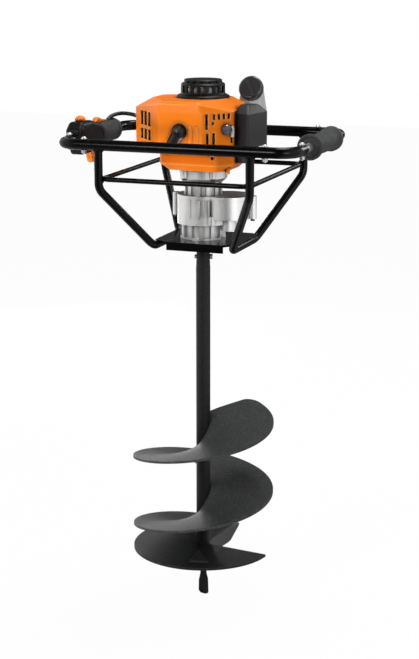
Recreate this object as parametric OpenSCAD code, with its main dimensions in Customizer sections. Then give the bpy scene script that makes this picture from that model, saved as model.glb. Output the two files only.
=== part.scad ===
// Two-operator earth auger: tube carrying frame, small engine, two-stage gearbox and screw bit.
// Lengths in millimetres. Z is the drive axis, zero at the pilot point; +Y points to the rear.

/* [Carrying frame] */
// Outside diameter of the rails and elbows
rail_d = 22; // [18:0.5:26]
// Outside diameter of the spigots and of the two hand bars
bar_d = 17.9; // [14:0.1:18.4]
// Height of the rails above the pilot point
rail_z = 996; // [900:1:1100]
// Half distance between the front and the rear rail
rail_half_y = 180; // [150:1:220]
// Half length of a rail up to its shoulders
rail_half_x = 176; // [168:1:200]
// Half distance between the two hand bars
bar_half_x = 245; // [236:1:300]
// Bend radius of the elbows
elbow_bend = 38; // [30:1:45]
// Straight length of an elbow on its hand bar
socket_len = 27; // [20:1:34]
// Least distance between a leg and the end of its rail
nut_gap = 9.5; // [8:0.5:14]
// Outside diameter of the leg hoops
leg_d = 17; // [14:0.5:20]
// Half distance between the legs along the rails
leg_half_x = 158; // [140:1:162]
// Height at which the legs turn inward
leg_bend_z = 908; // [880:1:920]
// Half distance between the bottom bars of the hoops
foot_half_x = 85; // [80:1:95]
// Half length of a bottom bar
foot_half_y = 75; // [70:1:85]
// Height of the bottom bars
foot_z = 780; // [775:1:785]
// Diameter of the brace ring
brace_d = 10; // [8:0.5:12]
// Height of the brace ring
brace_z = 928; // [918:1:940]
// Sheet thickness of the base plate
plate_t = 4; // [3:0.5:6]

/* [Hand grips and controls] */
// Length of the rubber grip on the right bar
grip_len = 164; // [120:1:180]
// Radius of the rubber grip at its waist
grip_r = 18; // [15:0.5:21]
// Radius of the flange at the front of the rubber grip
grip_flange_r = 26; // [22:0.5:30]
// Width of the control housing
housing_w = 33; // [30:1:46]
// Diameter of the stop button
button_d = 22; // [14:0.5:24]
// Width of the throttle trigger
trigger_w = 12; // [8:0.5:16]
// Diameter of the cable hose
hose_d = 8.5; // [6:0.5:9]

/* [Gearbox] */
// Distance between the drive axis and the layshaft
gear_cd = 54; // [54:1:54]
// Teeth of the input pinion
z_in = 12; // [12:1:12]
// Teeth of the large layshaft wheel
z_lay = 60; // [60:1:60]
// Teeth of the layshaft pinion
z_lay_out = 10; // [10:1:10]
// Teeth of the output wheel
z_out = 44; // [44:1:44]
// Outside radius of the main gear drum
drum_r = 53; // [52:0.5:56]
// Outside radius of the layshaft lobe
lobe_r = 50; // [50:0.5:53]
// Diameter of the output spindle
spindle_d = 25; // [20:0.5:25]

/* [Engine] */
// Top of the orange shroud
shroud_z = 1079; // [1070:1:1085]
// Wall of the shroud
shroud_t = 3; // [2:0.5:4]
// Radius of the recoil starter body
starter_r = 45; // [40:1:50]
// Radius of the fuel cap
cap_r = 25; // [20:0.5:28]
// Width of the air filter box
filter_w = 46; // [40:1:60]

/* [Screw bit] */
// Outside radius of the flight
flight_r = 150; // [75:1:175]
// Lead of the flight
flight_lead = 151; // [120:1:180]
// Thickness of the flight
flight_t = 5; // [4:0.5:8]
// Outside diameter of the bit tube
bit_d = 30; // [28:0.5:34]
// Height of the flat bottom plate
bottom_z = 117; // [110:1:120]
// Turn of the bit about the drive axis as drawn
bit_turn = 20; // [0:1:359]

/* [Hidden] */
$fn = 64;
fx = 5;
fy = -5;
front_y = fy - rail_half_y;
rear_y = fy + rail_half_y;
left_x = fx - bar_half_x;
right_x = fx + bar_half_x;
// Shoulder of a rail, past the leg and its nut; then the elbow's end, the bolts and the bar's end
rail_end = max(rail_half_x, leg_half_x + leg_d / 2 + nut_gap);
elbow_end = rail_half_y - elbow_bend - socket_len;
bolt_a = rail_end + 12;
bolt_b = elbow_end + 10;
bar_end = elbow_end + 16;
plate_z = foot_z + leg_d / 2 + 1.5;
case_z = 821;
cover_z = 874;
bell_z = 909;
// Tooth sizes of the two stages from the shared centre distance
m_in = 2 * gear_cd / (z_in + z_lay);
m_out = 2 * gear_cd / (z_lay_out + z_out);
shift_in = 0.35;
shift_out = 0.45;
bit_r = bit_d / 2;
flight_top_a = 47;
flight_end_a = -660;
flight_z0 = 394;
// Screw ears of the gear case, two on the drum and two on the lobe
ear_r = drum_r + 5.3;
ears = [[-ear_r, 0], [-ear_r * 0.5, ear_r * 0.866],
    [gear_cd + (lobe_r + 4) * 0.5, (lobe_r + 4) * 0.866], [gear_cd + lobe_r + 4, 0]];
bell_angles = [-117, -48, 63, 132];
// Axis of the lying cylinder
cyl_x = -6;
cyl_z = 1021;
// Place of the carburettor's inlet
snout_y = -26;
// Direction of the shroud's right front face
face_turn = atan2(60, 45);
// Centre and tilt of the fuel cap
cap_c = [79, 74, 1092];
cap_tilt = 25;
// Places along the left hand bar
button_y = -76;
trigger_y = -40;
lockout_y = 47;

// Turn angles that carry the axes x, y, z onto three unit vectors
function turn(x, y, z) =
    abs(x[2]) > 0.99999
        ? [0, x[2] > 0 ? -90 : 90, atan2(-y[0], y[1])]
        : [atan2(y[2], z[2]), -asin(x[2]), atan2(x[1], x[0])];
function unit(v) = v / norm(v);

// Straight round bar from p to q
module bar(p, q, d) {
    v = q - p;
    translate(p)
        rotate([0, acos(v[2] / norm(v)), atan2(v[1], v[0])])
            cylinder(d = d, h = norm(v));
}

// Bent round bar through points, with one bend radius at every inner point
module bent(p, rb, d) {
    n = len(p);
    u = [for (i = [0 : n - 2]) unit(p[i + 1] - p[i])];
    cut = [for (i = [0 : n - 1])
        i == 0 || i == n - 1 ? 0 : rb * tan(acos(u[i - 1] * u[i]) / 2)];
    for (i = [0 : n - 2])
        bar(p[i] + u[i] * cut[i], p[i + 1] - u[i] * cut[i + 1], d);
    for (i = [1 : n - 2]) {
        side = unit(u[i] - u[i - 1] * (u[i] * u[i - 1]));
        translate(p[i] - u[i - 1] * cut[i] + side * rb)
            rotate(turn(-side, u[i - 1], cross(u[i - 1], side)))
                rotate_extrude(angle = acos(u[i - 1] * u[i]))
                    translate([rb, 0])
                        circle(d = d);
    }
}

// Points along a bent path: straight runs, and an arc of k steps at every inner corner
function arc_path(p, rb, k) =
    let (n = len(p), u = [for (i = [0 : n - 2]) unit(p[i + 1] - p[i])])
    concat([p[0]],
        [for (i = [1 : n - 2])
            let (h = acos(u[i - 1] * u[i]), side = unit(u[i] - u[i - 1] * (u[i] * u[i - 1])),
                o = p[i] - u[i - 1] * rb * tan(h / 2) + side * rb)
            each [for (j = [0 : k]) o + rb * (u[i - 1] * sin(h * j / k) - side * cos(h * j / k))]],
        [p[n - 1]]);
// Direction of the path at every point, and a side direction carried along it without twist
function along(q) =
    [for (i = [0 : len(q) - 1])
        unit((i < len(q) - 1 ? unit(q[i + 1] - q[i]) : [0, 0, 0])
            + (i > 0 ? unit(q[i] - q[i - 1]) : [0, 0, 0]))];
function carried(u, first) =
    [for (i = 0, v = unit(first - u[0] * (first * u[0])); i < len(u);
        i = i + 1, v = i < len(u) ? unit(v - u[i] * (v * u[i])) : v) v];
function ring_points(q, u, v, r, n) =
    [for (i = [0 : len(q) - 1], j = [0 : n - 1])
        q[i] + r * (v[i] * cos(360 * j / n) + cross(u[i], v[i]) * sin(360 * j / n))];

// Round bar of n sides swept along a bent path
module swept(p, rb, d, n, k) {
    q = arc_path(p, rb, k);
    u = along(q);
    v = carried(u, [0.31, 0.83, 0.47]);
    m = len(q);
    polyhedron(ring_points(q, u, v, d / 2, n), concat(
        [[for (j = [0 : n - 1]) j]],
        [for (i = [0 : m - 2], j = [0 : n - 1]) each [
            [i * n + j, (i + 1) * n + j, i * n + (j + 1) % n],
            [(i + 1) * n + j, (i + 1) * n + (j + 1) % n, i * n + (j + 1) % n]]],
        [[for (j = [n - 1 : -1 : 0]) (m - 1) * n + j]]));
}

// Outline of an involute spur wheel; x is the profile shift, play the thinning of each flank
function invd(a) = tan(a) * 180 / PI - a;
function flank(r, rp, rb, half) =
    half + invd(20) - (r > rb ? invd(acos(rb / r)) : 0);
function wheel(z, m, x, play) =
    let (rp = z * m / 2,
        rb = rp * cos(20),
        ra = rp + m * (0.95 + x),
        rf = rp - m * (1.22 - x),
        half = 90 / z + 2 * x * tan(20) / z * 180 / PI - play / rp * 180 / PI,
        r0 = max(rb, rf),
        rr = [for (k = [0 : 5]) r0 + (ra - r0) * k / 5])
    [for (i = [0 : z - 1]) each concat(
        [let (a = i * 360 / z - flank(r0, rp, rb, half)) [rf * cos(a), rf * sin(a)]],
        [for (r = rr) let (a = i * 360 / z - flank(r, rp, rb, half)) [r * cos(a), r * sin(a)]],
        [for (k = [5 : -1 : 0]) let (a = i * 360 / z + flank(rr[k], rp, rb, half))
            [rr[k] * cos(a), rr[k] * sin(a)]],
        [let (a = i * 360 / z + flank(r0, rp, rb, half)) [rf * cos(a), rf * sin(a)]])];

// Polygon with every corner cut by a short arc
function rounded(p, r, n = 4) =
    [for (i = [0 : len(p) - 1])
        let (a = p[i], b = p[(i + 1) % len(p)], c = p[(i + len(p) - 1) % len(p)],
            u = unit(c - a), v = unit(b - a), h = acos(u * v) / 2, t = r / tan(h),
            o = a + unit(u + v) * r / sin(h),
            s = a + u * t - o, e = a + v * t - o,
            a0 = atan2(s[1], s[0]), da = (atan2(e[1], e[0]) - a0 + 540) % 360 - 180)
        each [for (k = [0 : n]) o + r * [cos(a0 + da * k / n), sin(a0 + da * k / n)]]];

// Outline drawn in by t along every edge; its corners run anticlockwise
function inset(p, t) =
    [for (i = [0 : len(p) - 1])
        let (a = p[(i + len(p) - 1) % len(p)], b = p[i], c = p[(i + 1) % len(p)],
            u = unit(b - a), v = unit(c - b), k = t / (1 + u * v))
        b + k * ([-u[1], u[0]] + [-v[1], v[0]])];

// Lengthwise solid of revolution along +Y from a list of [radius, y]
module turned_y(p) {
    rotate([-90, 0, 0])
        rotate_extrude()
            polygon(p);
}

// Carrying frame

module rail(y) {
    color([0.06, 0.06, 0.07])
        translate([fx, y, rail_z])
            difference() {
                union() {
                    rotate([0, 90, 0])
                        cylinder(d = rail_d, h = 2 * rail_end, center = true);
                    rotate([0, 90, 0])
                        cylinder(d = bar_d, h = 2 * rail_end + 56, center = true);
                }
                rotate([0, 90, 0])
                    cylinder(d = bar_d - 4, h = 3 * rail_end, center = true);
                for (s = [-1, 1])
                    translate([s * bolt_a, 0, 0])
                        cylinder(d = 6.1, h = 40, center = true);
            }
}

module rail_front() {
    rail(front_y);
}

module rail_rear() {
    rail(rear_y);
}

module elbow(sx, sy) {
    y0 = fy + sy * rail_half_y;
    x1 = fx + sx * bar_half_x;
    path = [[fx + sx * rail_end, y0, rail_z], [x1, y0, rail_z], [x1, fy + sy * elbow_end, rail_z]];
    difference() {
        bent(path, elbow_bend, rail_d);
        bent(path, elbow_bend, bar_d + 0.1);
        translate([fx + sx * bolt_a, y0, rail_z])
            cylinder(d = 6.1, h = 40, center = true);
        translate([x1, fy + sy * bolt_b, rail_z])
            cylinder(d = 6.1, h = 40, center = true);
    }
}

module elbows_left() {
    color([0.06, 0.06, 0.07])
        for (sy = [-1, 1])
            elbow(-1, sy);
}

module elbows_right() {
    color([0.06, 0.06, 0.07])
        for (sy = [-1, 1])
            elbow(1, sy);
}

module hand_bar(x) {
    color([0.75, 0.76, 0.77])
        translate([x, fy, rail_z])
            difference() {
                rotate([90, 0, 0])
                    cylinder(d = bar_d, h = 2 * bar_end, center = true);
                rotate([90, 0, 0])
                    cylinder(d = bar_d - 4, h = 3 * bar_end, center = true);
                for (s = [-1, 1])
                    translate([0, s * bolt_b, 0])
                        cylinder(d = 6.1, h = 40, center = true);
            }
}

module bar_left() {
    hand_bar(left_x);
}

module bar_right() {
    hand_bar(right_x);
}

function bolt_places() = [for (sx = [-1, 1], sy = [-1, 1])
    each [[fx + sx * bolt_a, fy + sy * rail_half_y], [fx + sx * bar_half_x, fy + sy * bolt_b]]];

// Dome-headed bolts with a washer face, put in from above
module frame_bolts() {
    color([0.78, 0.79, 0.8])
        for (p = bolt_places())
            translate([p[0], p[1], rail_z]) {
                translate([0, 0, -rail_d / 2 - 8])
                    cylinder(d = 6, h = rail_d + 9);
                translate([0, 0, rail_d / 2])
                    rotate_extrude()
                        polygon([[0, 0], [6.5, 0], [6.5, 1.2], [5.4, 1.2], [4.8, 3.2], [3, 4.6], [0, 5]]);
            }
}

module frame_nuts() {
    color([0.78, 0.79, 0.8])
        for (p = bolt_places())
            translate([p[0], p[1], rail_z - rail_d / 2])
                difference() {
                    union() {
                        translate([0, 0, -1.2])
                            cylinder(d = 13, h = 1.2);
                        translate([0, 0, -6.2])
                            cylinder(d = 11.5, h = 5, $fn = 6);
                    }
                    translate([0, 0, -8])
                        cylinder(d = 6.02, h = 10);
                }
}

function hoop_path(s) = [
    [fx + s * leg_half_x, front_y, rail_z],
    [fx + s * leg_half_x, front_y, leg_bend_z],
    [fx + s * foot_half_x, fy - foot_half_y + 4, foot_z],
    [fx + s * foot_half_x, fy + foot_half_y + 4, foot_z],
    [fx + s * leg_half_x, rear_y, leg_bend_z],
    [fx + s * leg_half_x, rear_y, rail_z]];

module rail_solids() {
    for (y = [front_y, rear_y])
        translate([fx, y, rail_z])
            rotate([0, 90, 0])
                cylinder(d = rail_d, h = 4 * leg_half_x, center = true);
}

module hoop(s) {
    color([0.06, 0.06, 0.07])
        difference() {
            swept(hoop_path(s), 30, leg_d, 20, 6);
            swept(hoop_path(s), 30, leg_d - 4, 12, 6);
            rail_solids();
        }
}

module hoop_left() {
    hoop(-1);
}

module hoop_right() {
    hoop(1);
}

// Thin rod bent into a closed rectangle, welded into the inner side of the four legs
module brace_ring() {
    rc = 20;
    k = ((leg_d + brace_d) / 2 + rc) / sqrt(2) - 0.6;
    bx = leg_half_x - k + rc;
    by = rail_half_y - k + rc;
    color([0.06, 0.06, 0.07])
        difference() {
            translate([fx, fy, brace_z])
                for (q = [0, 180])
                    rotate([0, 0, q]) {
                        bar([-bx + rc, -by, 0], [bx - rc, -by, 0], brace_d);
                        bar([bx, -by + rc, 0], [bx, by - rc, 0], brace_d);
                        for (c = [[bx - rc, -by + rc, -90], [bx - rc, by - rc, 0]])
                            translate([c[0], c[1], 0])
                                rotate([0, 0, c[2]])
                                    rotate_extrude(angle = 90)
                                        translate([rc, 0])
                                            circle(d = brace_d);
                    }
            for (sx = [-1, 1], sy = [-1, 1])
                translate([fx + sx * leg_half_x, fy + sy * rail_half_y, brace_z - 40])
                    cylinder(d = leg_d, h = 80);
        }
}

// Folded tray welded between the bottom bars
module base_plate() {
    x0 = fx - foot_half_x - 5;
    x1 = fx + foot_half_x + 5;
    color([0.05, 0.05, 0.055])
        difference() {
            union() {
                translate([0, 0, plate_z - plate_t])
                    linear_extrude(plate_t)
                        polygon(rounded([[-54, -78], [72, -78], [x1, -50], [x1, 80], [x0, 80],
                            [x0, -50]], 5));
                translate([-52, -78, plate_z - 17])
                    cube([122, plate_t, 16]);
                translate([-52, 80 - plate_t, plate_z - 17])
                    cube([122, plate_t, 16]);
            }
            for (s = [-1, 1])
                bent(hoop_path(s), 30, leg_d);
            translate([0, 0, plate_z - 10])
                cylinder(d = spindle_d + 12, h = 20);
            for (a = [45 : 90 : 315])
                rotate([0, 0, a])
                    translate([33, 0, plate_z - 10])
                        cylinder(d = 6.1, h = 20);
        }
}

// Hand grips and controls

module grip_right() {
    h = grip_len / 2;
    color([0.16, 0.16, 0.165])
        translate([right_x, 3, rail_z])
            difference() {
                turned_y([[0, -h + 4], [grip_flange_r - 7, -h + 4], [grip_flange_r - 5, -h],
                    [grip_flange_r - 2, -h], [grip_flange_r, -h + 2], [grip_flange_r, -h + 7],
                    [grip_flange_r - 3, -h + 9], [grip_r + 1.5, -h + 13], [grip_r, -h + 24],
                    [grip_r + 2, -20],
                    [grip_r + 2.5, 20], [grip_r + 1.5, h - 36], [grip_r + 4, h - 25], [grip_r + 7.5, h - 17],
                    [grip_r + 7.5, h - 7], [grip_r + 5, h - 2], [grip_r + 2, h], [0, h]]);
                rotate([90, 0, 0])
                    cylinder(d = bar_d + 0.04, h = 3 * h, center = true);
            }
}

// Outline of the left grip: radius and place along the bar
function left_profile() = [[0, 6], [18, 6], [21, 9], [22.5, 24], [22.5, 46], [21, 66], [22, 77],
    [24, 81], [24, 88], [21, 91], [0, 91]];

module grip_left() {
    color([0.15, 0.15, 0.155])
        translate([left_x, 0, rail_z])
            difference() {
                turned_y(left_profile());
                rotate([90, 0, 0])
                    cylinder(d = bar_d + 0.04, h = 400, center = true);
                translate([-6.5, lockout_y - 53, 11.5])
                    cube([13, 62, 20]);
                translate([0, lockout_y, 19])
                    rotate([0, 90, 0])
                        cylinder(d = 3.06, h = 19, center = true);
            }
}

// Moulded two-sided control housing: switch hump above the bar, trigger guard below it
module control_housing() {
    w = housing_w / 2 - 7;
    color([0.10, 0.10, 0.105])
        translate([left_x, 0, rail_z])
            difference() {
                union() {
                    hull()
                        for (x = [-w, w], p = [[-106, -8, 8], [-104, 15, 9], [-94, 25, 8], [-50, 25, 8],
                            [-12, 16, 8], [-4, 13, 8], [-4, -12, 8], [-98, -16, 8]])
                            translate([x, p[0], p[1]])
                                sphere(r = p[2], $fn = 20);
                    hull()
                        for (x = [-w, w], p = [[-98, -17, 6], [-91, -28, 6], [-54, -28, 6], [-44, -19, 6]])
                            translate([x, p[0], p[1]])
                                sphere(r = p[2], $fn = 16);
                }
                rotate([90, 0, 0])
                    cylinder(d = bar_d + 0.04, h = 400, center = true);
                translate([0, button_y, 22])
                    cylinder(d = button_d - 3.4, h = 30);
                translate([0, button_y, 30])
                    cylinder(d = button_d + 1, h = 30);
                translate([-trigger_w / 2 - 0.4, trigger_y - 12, -42])
                    cube([trigger_w + 0.8, 62, 32.5]);
                translate([-6.5, lockout_y - 65, 11])
                    cube([13, 30, 30]);
                translate([0, trigger_y, -16])
                    rotate([0, 90, 0])
                        cylinder(d = 4, h = 60, center = true);
            }
}

// Throttle trigger on a cross pin below the bar
module trigger() {
    color([0.95, 0.47, 0.03])
        translate([left_x, 0, rail_z]) {
            translate([-trigger_w / 2, 0, 0])
                rotate([90, 0, 90])
                    linear_extrude(trigger_w)
                        polygon(rounded([[-46, -12], [-34, -10.8], [-18, -13.2], [3, -17.5], [2, -23],
                            [-4, -32], [-3, -44], [-9, -56], [-20, -59], [-32, -54], [-36, -40],
                            [-46, -21]], 1.5));
            translate([0, trigger_y, -16])
                rotate([0, 90, 0])
                    cylinder(d = 3.94, h = housing_w - 2, center = true);
        }
}

// Lock-out lever let into the top of the grip
module lockout() {
    color([0.95, 0.47, 0.03])
        translate([left_x, 0, rail_z]) {
            translate([-5, 0, 0])
                rotate([90, 0, 90])
                    linear_extrude(10)
                        polygon(rounded([[-12, 18.6], [38, 18.6], [42, 16], [52, 16], [52, 22], [48, 24.5],
                            [28, 26.5], [16, 29.5], [8, 33], [0, 31], [-4, 27], [-12, 22.5]], 1.2));
            translate([0, lockout_y, 19])
                rotate([0, 90, 0])
                    cylinder(d = 3, h = 18, center = true);
        }
}

// Dome stop button on a short stem
module stop_button() {
    b = button_d / 2;
    color([0.95, 0.47, 0.03])
        translate([left_x, button_y, rail_z])
            rotate_extrude()
                polygon([[0, 26], [b - 2, 26], [b - 2, 34], [b, 34], [b, 37.5], [b - 1, 40], [b - 3, 42],
                    [b - 6.5, 43.5], [0, 44.5]]);
}

// Hose with the throttle cable and the stop lead, from the grip to the shroud
module cable_hose() {
    color([0.07, 0.07, 0.075])
        difference() {
            swept([[left_x, 48, rail_z + 14], [left_x + 2, 92, rail_z + 35], [left_x + 54, 106, rail_z + 30],
                [-132, 2, rail_z + 14]], 34, hose_d, 12, 8);
            translate([-138, -20, rail_z - 40])
                cube([40, 80, 80]);
            translate([left_x, 0, rail_z])
                turned_y(left_profile());
        }
}

// Gearbox

// Ribbed foot between the base plate and the gear case, with the two spindle bearings
module pedestal() {
    color([0.72, 0.73, 0.74])
        difference() {
            union() {
                translate([0, 0, plate_z])
                    cylinder(r = 40, h = case_z - plate_z);
                translate([0, 0, plate_z])
                    cylinder(r = 47, h = 4);
                for (a = [15 : 30 : 345])
                    rotate([0, 0, a])
                        translate([30, -3.5, plate_z])
                            cube([16.5, 7, case_z - plate_z]);
            }
            translate([0, 0, plate_z - 1])
                cylinder(r = 21, h = 60);
            translate([gear_cd, 0, plate_z - 1])
                cylinder(r = 18.4, h = 60);
            for (a = [45 : 90 : 315])
                rotate([0, 0, a])
                    translate([33, 0, plate_z - 1])
                        cylinder(d = 6, h = 16);
        }
}

// Cup-shaped main case: wheel drum on the drive axis, layshaft lobe beside it
module gear_case() {
    color([0.74, 0.75, 0.76])
        difference() {
            union() {
                translate([0, 0, case_z])
                    cylinder(r = drum_r, h = cover_z - case_z);
                translate([gear_cd, 0, case_z + 14])
                    cylinder(r = lobe_r, h = cover_z - case_z - 14);
                translate([gear_cd, 0, case_z - 12])
                    cylinder(r = 18, h = 30);
                translate([34, -43, case_z + 3])
                    cylinder(r = 8, h = 18);
                for (e = ears)
                    translate([e[0], e[1], case_z + 14])
                        cylinder(r = 8, h = cover_z - case_z - 14);
                for (a = [-100, -80, -62])
                    rotate([0, 0, a])
                        translate([drum_r - 3, -1.5, case_z + 16])
                            cube([5, 3, cover_z - case_z - 16]);
            }
            translate([0, 0, case_z + 4])
                cylinder(r = drum_r - 4, h = 60);
            translate([gear_cd, 0, case_z + 18])
                cylinder(r = lobe_r - 3, h = 60);
            translate([gear_cd, 0, case_z + 4])
                cylinder(r = 14.5, h = 60);
            translate([gear_cd, 0, case_z - 9])
                cylinder(r = 12, h = 60);
            translate([0, 0, case_z - 1])
                cylinder(d = spindle_d + 2, h = 20);
            for (e = ears)
                translate([e[0], e[1], case_z])
                    cylinder(d = 5, h = 80);
        }
}

// Flat cover with the ribbed input neck
module case_cover() {
    color([0.55, 0.56, 0.57])
        difference() {
            union() {
                translate([0, 0, cover_z])
                    cylinder(r = drum_r, h = 8);
                translate([gear_cd, 0, cover_z])
                    cylinder(r = lobe_r, h = 8);
                for (e = ears)
                    translate([e[0], e[1], cover_z])
                        cylinder(r = 8, h = 8);
                translate([0, 0, cover_z + 4])
                    cylinder(r = 35, h = bell_z - cover_z - 4);
                for (a = [0 : 30 : 330])
                    rotate([0, 0, a + 5])
                        translate([20, -4, cover_z + 4])
                            cube([19.5, 8, bell_z - cover_z - 4]);
            }
            translate([0, 0, cover_z - 1])
                cylinder(r = 16, h = 60);
            translate([gear_cd, 0, cover_z - 1])
                cylinder(r = 12, h = 7);
            for (e = ears)
                translate([e[0], e[1], cover_z - 1])
                    cylinder(d = 5, h = 8);
            for (a = bell_angles)
                rotate([0, 0, a])
                    translate([28, 0, bell_z - 14])
                        cylinder(d = 5, h = 30);
        }
}

// Open bell round the clutch, with four screw lugs under its rim
module clutch_bell() {
    color([0.74, 0.75, 0.76])
        difference() {
            union() {
                translate([0, 0, bell_z])
                    rotate_extrude()
                        polygon([[16, 0], [43, 0], [50, 7], [50, 25], [46, 25], [46, 8], [42, 4], [16, 4]]);
                for (a = bell_angles)
                    rotate([0, 0, a])
                        translate([52, 0, bell_z + 9])
                            cylinder(r = 6.5, h = 16);
            }
            translate([0, 0, bell_z + 4])
                cylinder(r = 46, h = 30);
            for (a = bell_angles)
                rotate([0, 0, a]) {
                    translate([53, 0, bell_z])
                        cylinder(d = 5, h = 40);
                    translate([53, 0, bell_z])
                        cylinder(d = 9.2, h = 9);
                    translate([28, 0, bell_z - 1])
                        cylinder(d = 5, h = 10);
                }
        }
}

// Cap screw pointing up, its head below the origin
module cap_screw(d, h, head) {
    cylinder(d = d, h = h);
    translate([0, 0, -head])
        difference() {
            cylinder(d = 1.75 * d, h = head);
            translate([0, 0, -1])
                cylinder(d = d, h = head / 2 + 1, $fn = 6);
        }
}

module case_screws() {
    color([0.25, 0.25, 0.26])
        for (e = ears)
            translate([e[0], e[1], case_z + 14])
                cap_screw(5, cover_z - case_z - 9, 4.5);
}

// Screws of the bell: four up into the crankcase, four down into the neck
module bell_screws() {
    color([0.25, 0.25, 0.26])
        for (a = bell_angles)
            rotate([0, 0, a]) {
                translate([53, 0, bell_z + 9])
                    cap_screw(5, 22, 4.5);
                translate([28, 0, bell_z + 4])
                    rotate([180, 0, 0])
                        cap_screw(5, 16, 1);
            }
}

module plate_screws() {
    color([0.25, 0.25, 0.26])
        for (a = [45 : 90 : 315])
            rotate([0, 0, a])
                translate([33, 0, plate_z - plate_t])
                    cap_screw(6, plate_t + 13, 5);
}

module ring(ri, ro, h) {
    rotate_extrude()
        translate([ri, 0])
            square([ro - ri, h]);
}

// Bearing rings of the spindle, the layshaft and the input shaft
module bearings() {
    color([0.8, 0.81, 0.82]) {
        translate([0, 0, plate_z])
            ring(spindle_d / 2 + 0.05, 21, 10);
        translate([0, 0, case_z - 11])
            ring(spindle_d / 2 + 0.05, 21, 11);
        translate([gear_cd, 0, case_z - 9])
            ring(6.05, 12, 9);
        translate([gear_cd, 0, cover_z - 1])
            ring(6.05, 12, 7);
        translate([0, 0, cover_z + 8])
            ring(6.05, 16, 10);
        translate([0, 0, bell_z - 10])
            ring(6.05, 16, 10);
    }
}

// Layshaft with its large wheel and its small pinion
module layshaft() {
    color([0.6, 0.6, 0.62])
        translate([gear_cd, 0, 0]) {
            translate([0, 0, case_z - 8.5])
                cylinder(d = 12, h = cover_z - case_z + 14);
            translate([0, 0, case_z + 5])
                rotate([0, 0, 180 / z_lay_out])
                    linear_extrude(15)
                        polygon(wheel(z_lay_out, m_out, shift_out, 0.08));
            translate([0, 0, case_z + 31])
                rotate([0, 0, 180 / z_lay])
                    linear_extrude(10)
                        polygon(wheel(z_lay, m_in, -shift_in, 0.08));
        }
}

module output_wheel() {
    color([0.6, 0.6, 0.62])
        translate([0, 0, case_z + 6])
            difference() {
                linear_extrude(11)
                    polygon(wheel(z_out, m_out, -shift_out, 0.08));
                translate([0, 0, -1])
                    cylinder(d = spindle_d, h = 20);
            }
}

module spindle() {
    color([0.2, 0.2, 0.21])
        difference() {
            translate([0, 0, 692])
                cylinder(d = spindle_d, h = case_z + 21 - 692);
            translate([0, 0, 749])
                rotate([0, 90, bit_turn])
                    cylinder(d = 8.04, h = 60, center = true);
        }
}

// Engine

// Clutch drum, input shaft and input pinion, one turned piece
module clutch_drum() {
    color([0.55, 0.55, 0.57]) {
        translate([0, 0, bell_z + 5.5])
            rotate_extrude()
                polygon([[0, 0], [38, 0], [39, 1], [39, 17], [36, 17], [36, 3], [0, 3]]);
        translate([0, 0, case_z + 25])
            cylinder(d = 12, h = bell_z - case_z - 18);
        translate([0, 0, case_z + 29])
            linear_extrude(14)
                polygon(wheel(z_in, m_in, shift_in, 0.08));
    }
}

module clutch_shoes() {
    color([0.4, 0.4, 0.42])
        translate([0, 0, bell_z + 10])
            difference() {
                cylinder(r = 34, h = 11);
                translate([0, 0, -1])
                    cylinder(d = 16, h = 20);
                for (q = [0, 180])
                    rotate([0, 0, q])
                        translate([18.5, -40, -1])
                            cube([3, 54, 20]);
                for (s = [-1, 1])
                    translate([-12, s * 24 - 7, -1])
                        cube([24, 14, 20]);
            }
}

module crankshaft() {
    color([0.6, 0.6, 0.62])
        translate([0, 0, bell_z + 10])
            cylinder(d = 16, h = shroud_z - 5 - bell_z - 10);
}

// Flywheel with the blades of the cooling fan and the cup that the starter takes hold of
module flywheel() {
    color([0.6, 0.6, 0.62])
        translate([0, 0, shroud_z - 28])
            difference() {
                union() {
                    cylinder(r = 54, h = 5);
                    difference() {
                        cylinder(r = 30, h = 48);
                        translate([0, 0, 9])
                            cylinder(r = 27, h = 40);
                    }
                    cylinder(r = 16, h = 18);
                    for (a = [0 : 30 : 330])
                        rotate([0, 0, a])
                            translate([22, -1.2, 4])
                                cube([30, 2.4, 10]);
                }
                translate([0, 0, -1])
                    cylinder(d = 16, h = 30);
            }
}

module crankcase() {
    color([0.6, 0.61, 0.62])
        difference() {
            union() {
                translate([0, 0, bell_z + 25])
                    cylinder(r = 58, h = 9);
                translate([0, 0, bell_z + 25])
                    cylinder(r = 42, h = 1046 - bell_z - 25);
            }
            translate([0, 0, bell_z])
                cylinder(d = 16.1, h = 200);
            for (a = bell_angles)
                rotate([0, 0, a])
                    translate([53, 0, bell_z])
                        cylinder(d = 5, h = 31.5);
        }
}

// Air-cooled cylinder lying to the front, with square fins
module cylinder_barrel() {
    translate([cyl_x, 0, cyl_z])
        rotate([90, 0, 0])
            cylinder(r = 25, h = 94);
}

module cylinder_block() {
    color([0.66, 0.67, 0.68])
        difference() {
            union() {
                cylinder_barrel();
                difference() {
                    for (k = [0 : 6])
                        translate([cyl_x - 36, -52 - 6.6 * k, cyl_z - 31])
                            cube([72, 2.4, 59]);
                    translate([-90, -78.5, cyl_z - 12.5])
                        cube([86, 21, 25]);
                    translate([0, -70.5, cyl_z - 12.5])
                        cube([80, 21, 25]);
                }
            }
            translate([0, 0, 900])
                cylinder(r = 42, h = 146);
            translate([cyl_x, -86, cyl_z])
                rotate([90, 0, 0])
                    cylinder(d = 9, h = 20);
        }
}

module spark_plug() {
    color([0.85, 0.84, 0.8])
        translate([cyl_x, -86, cyl_z])
            rotate([90, 0, 0]) {
                cylinder(d = 9, h = 8);
                translate([0, 0, 8])
                    cylinder(d = 16, h = 7, $fn = 6);
                translate([0, 0, 15])
                    cylinder(d = 9, h = 22);
            }
}

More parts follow.
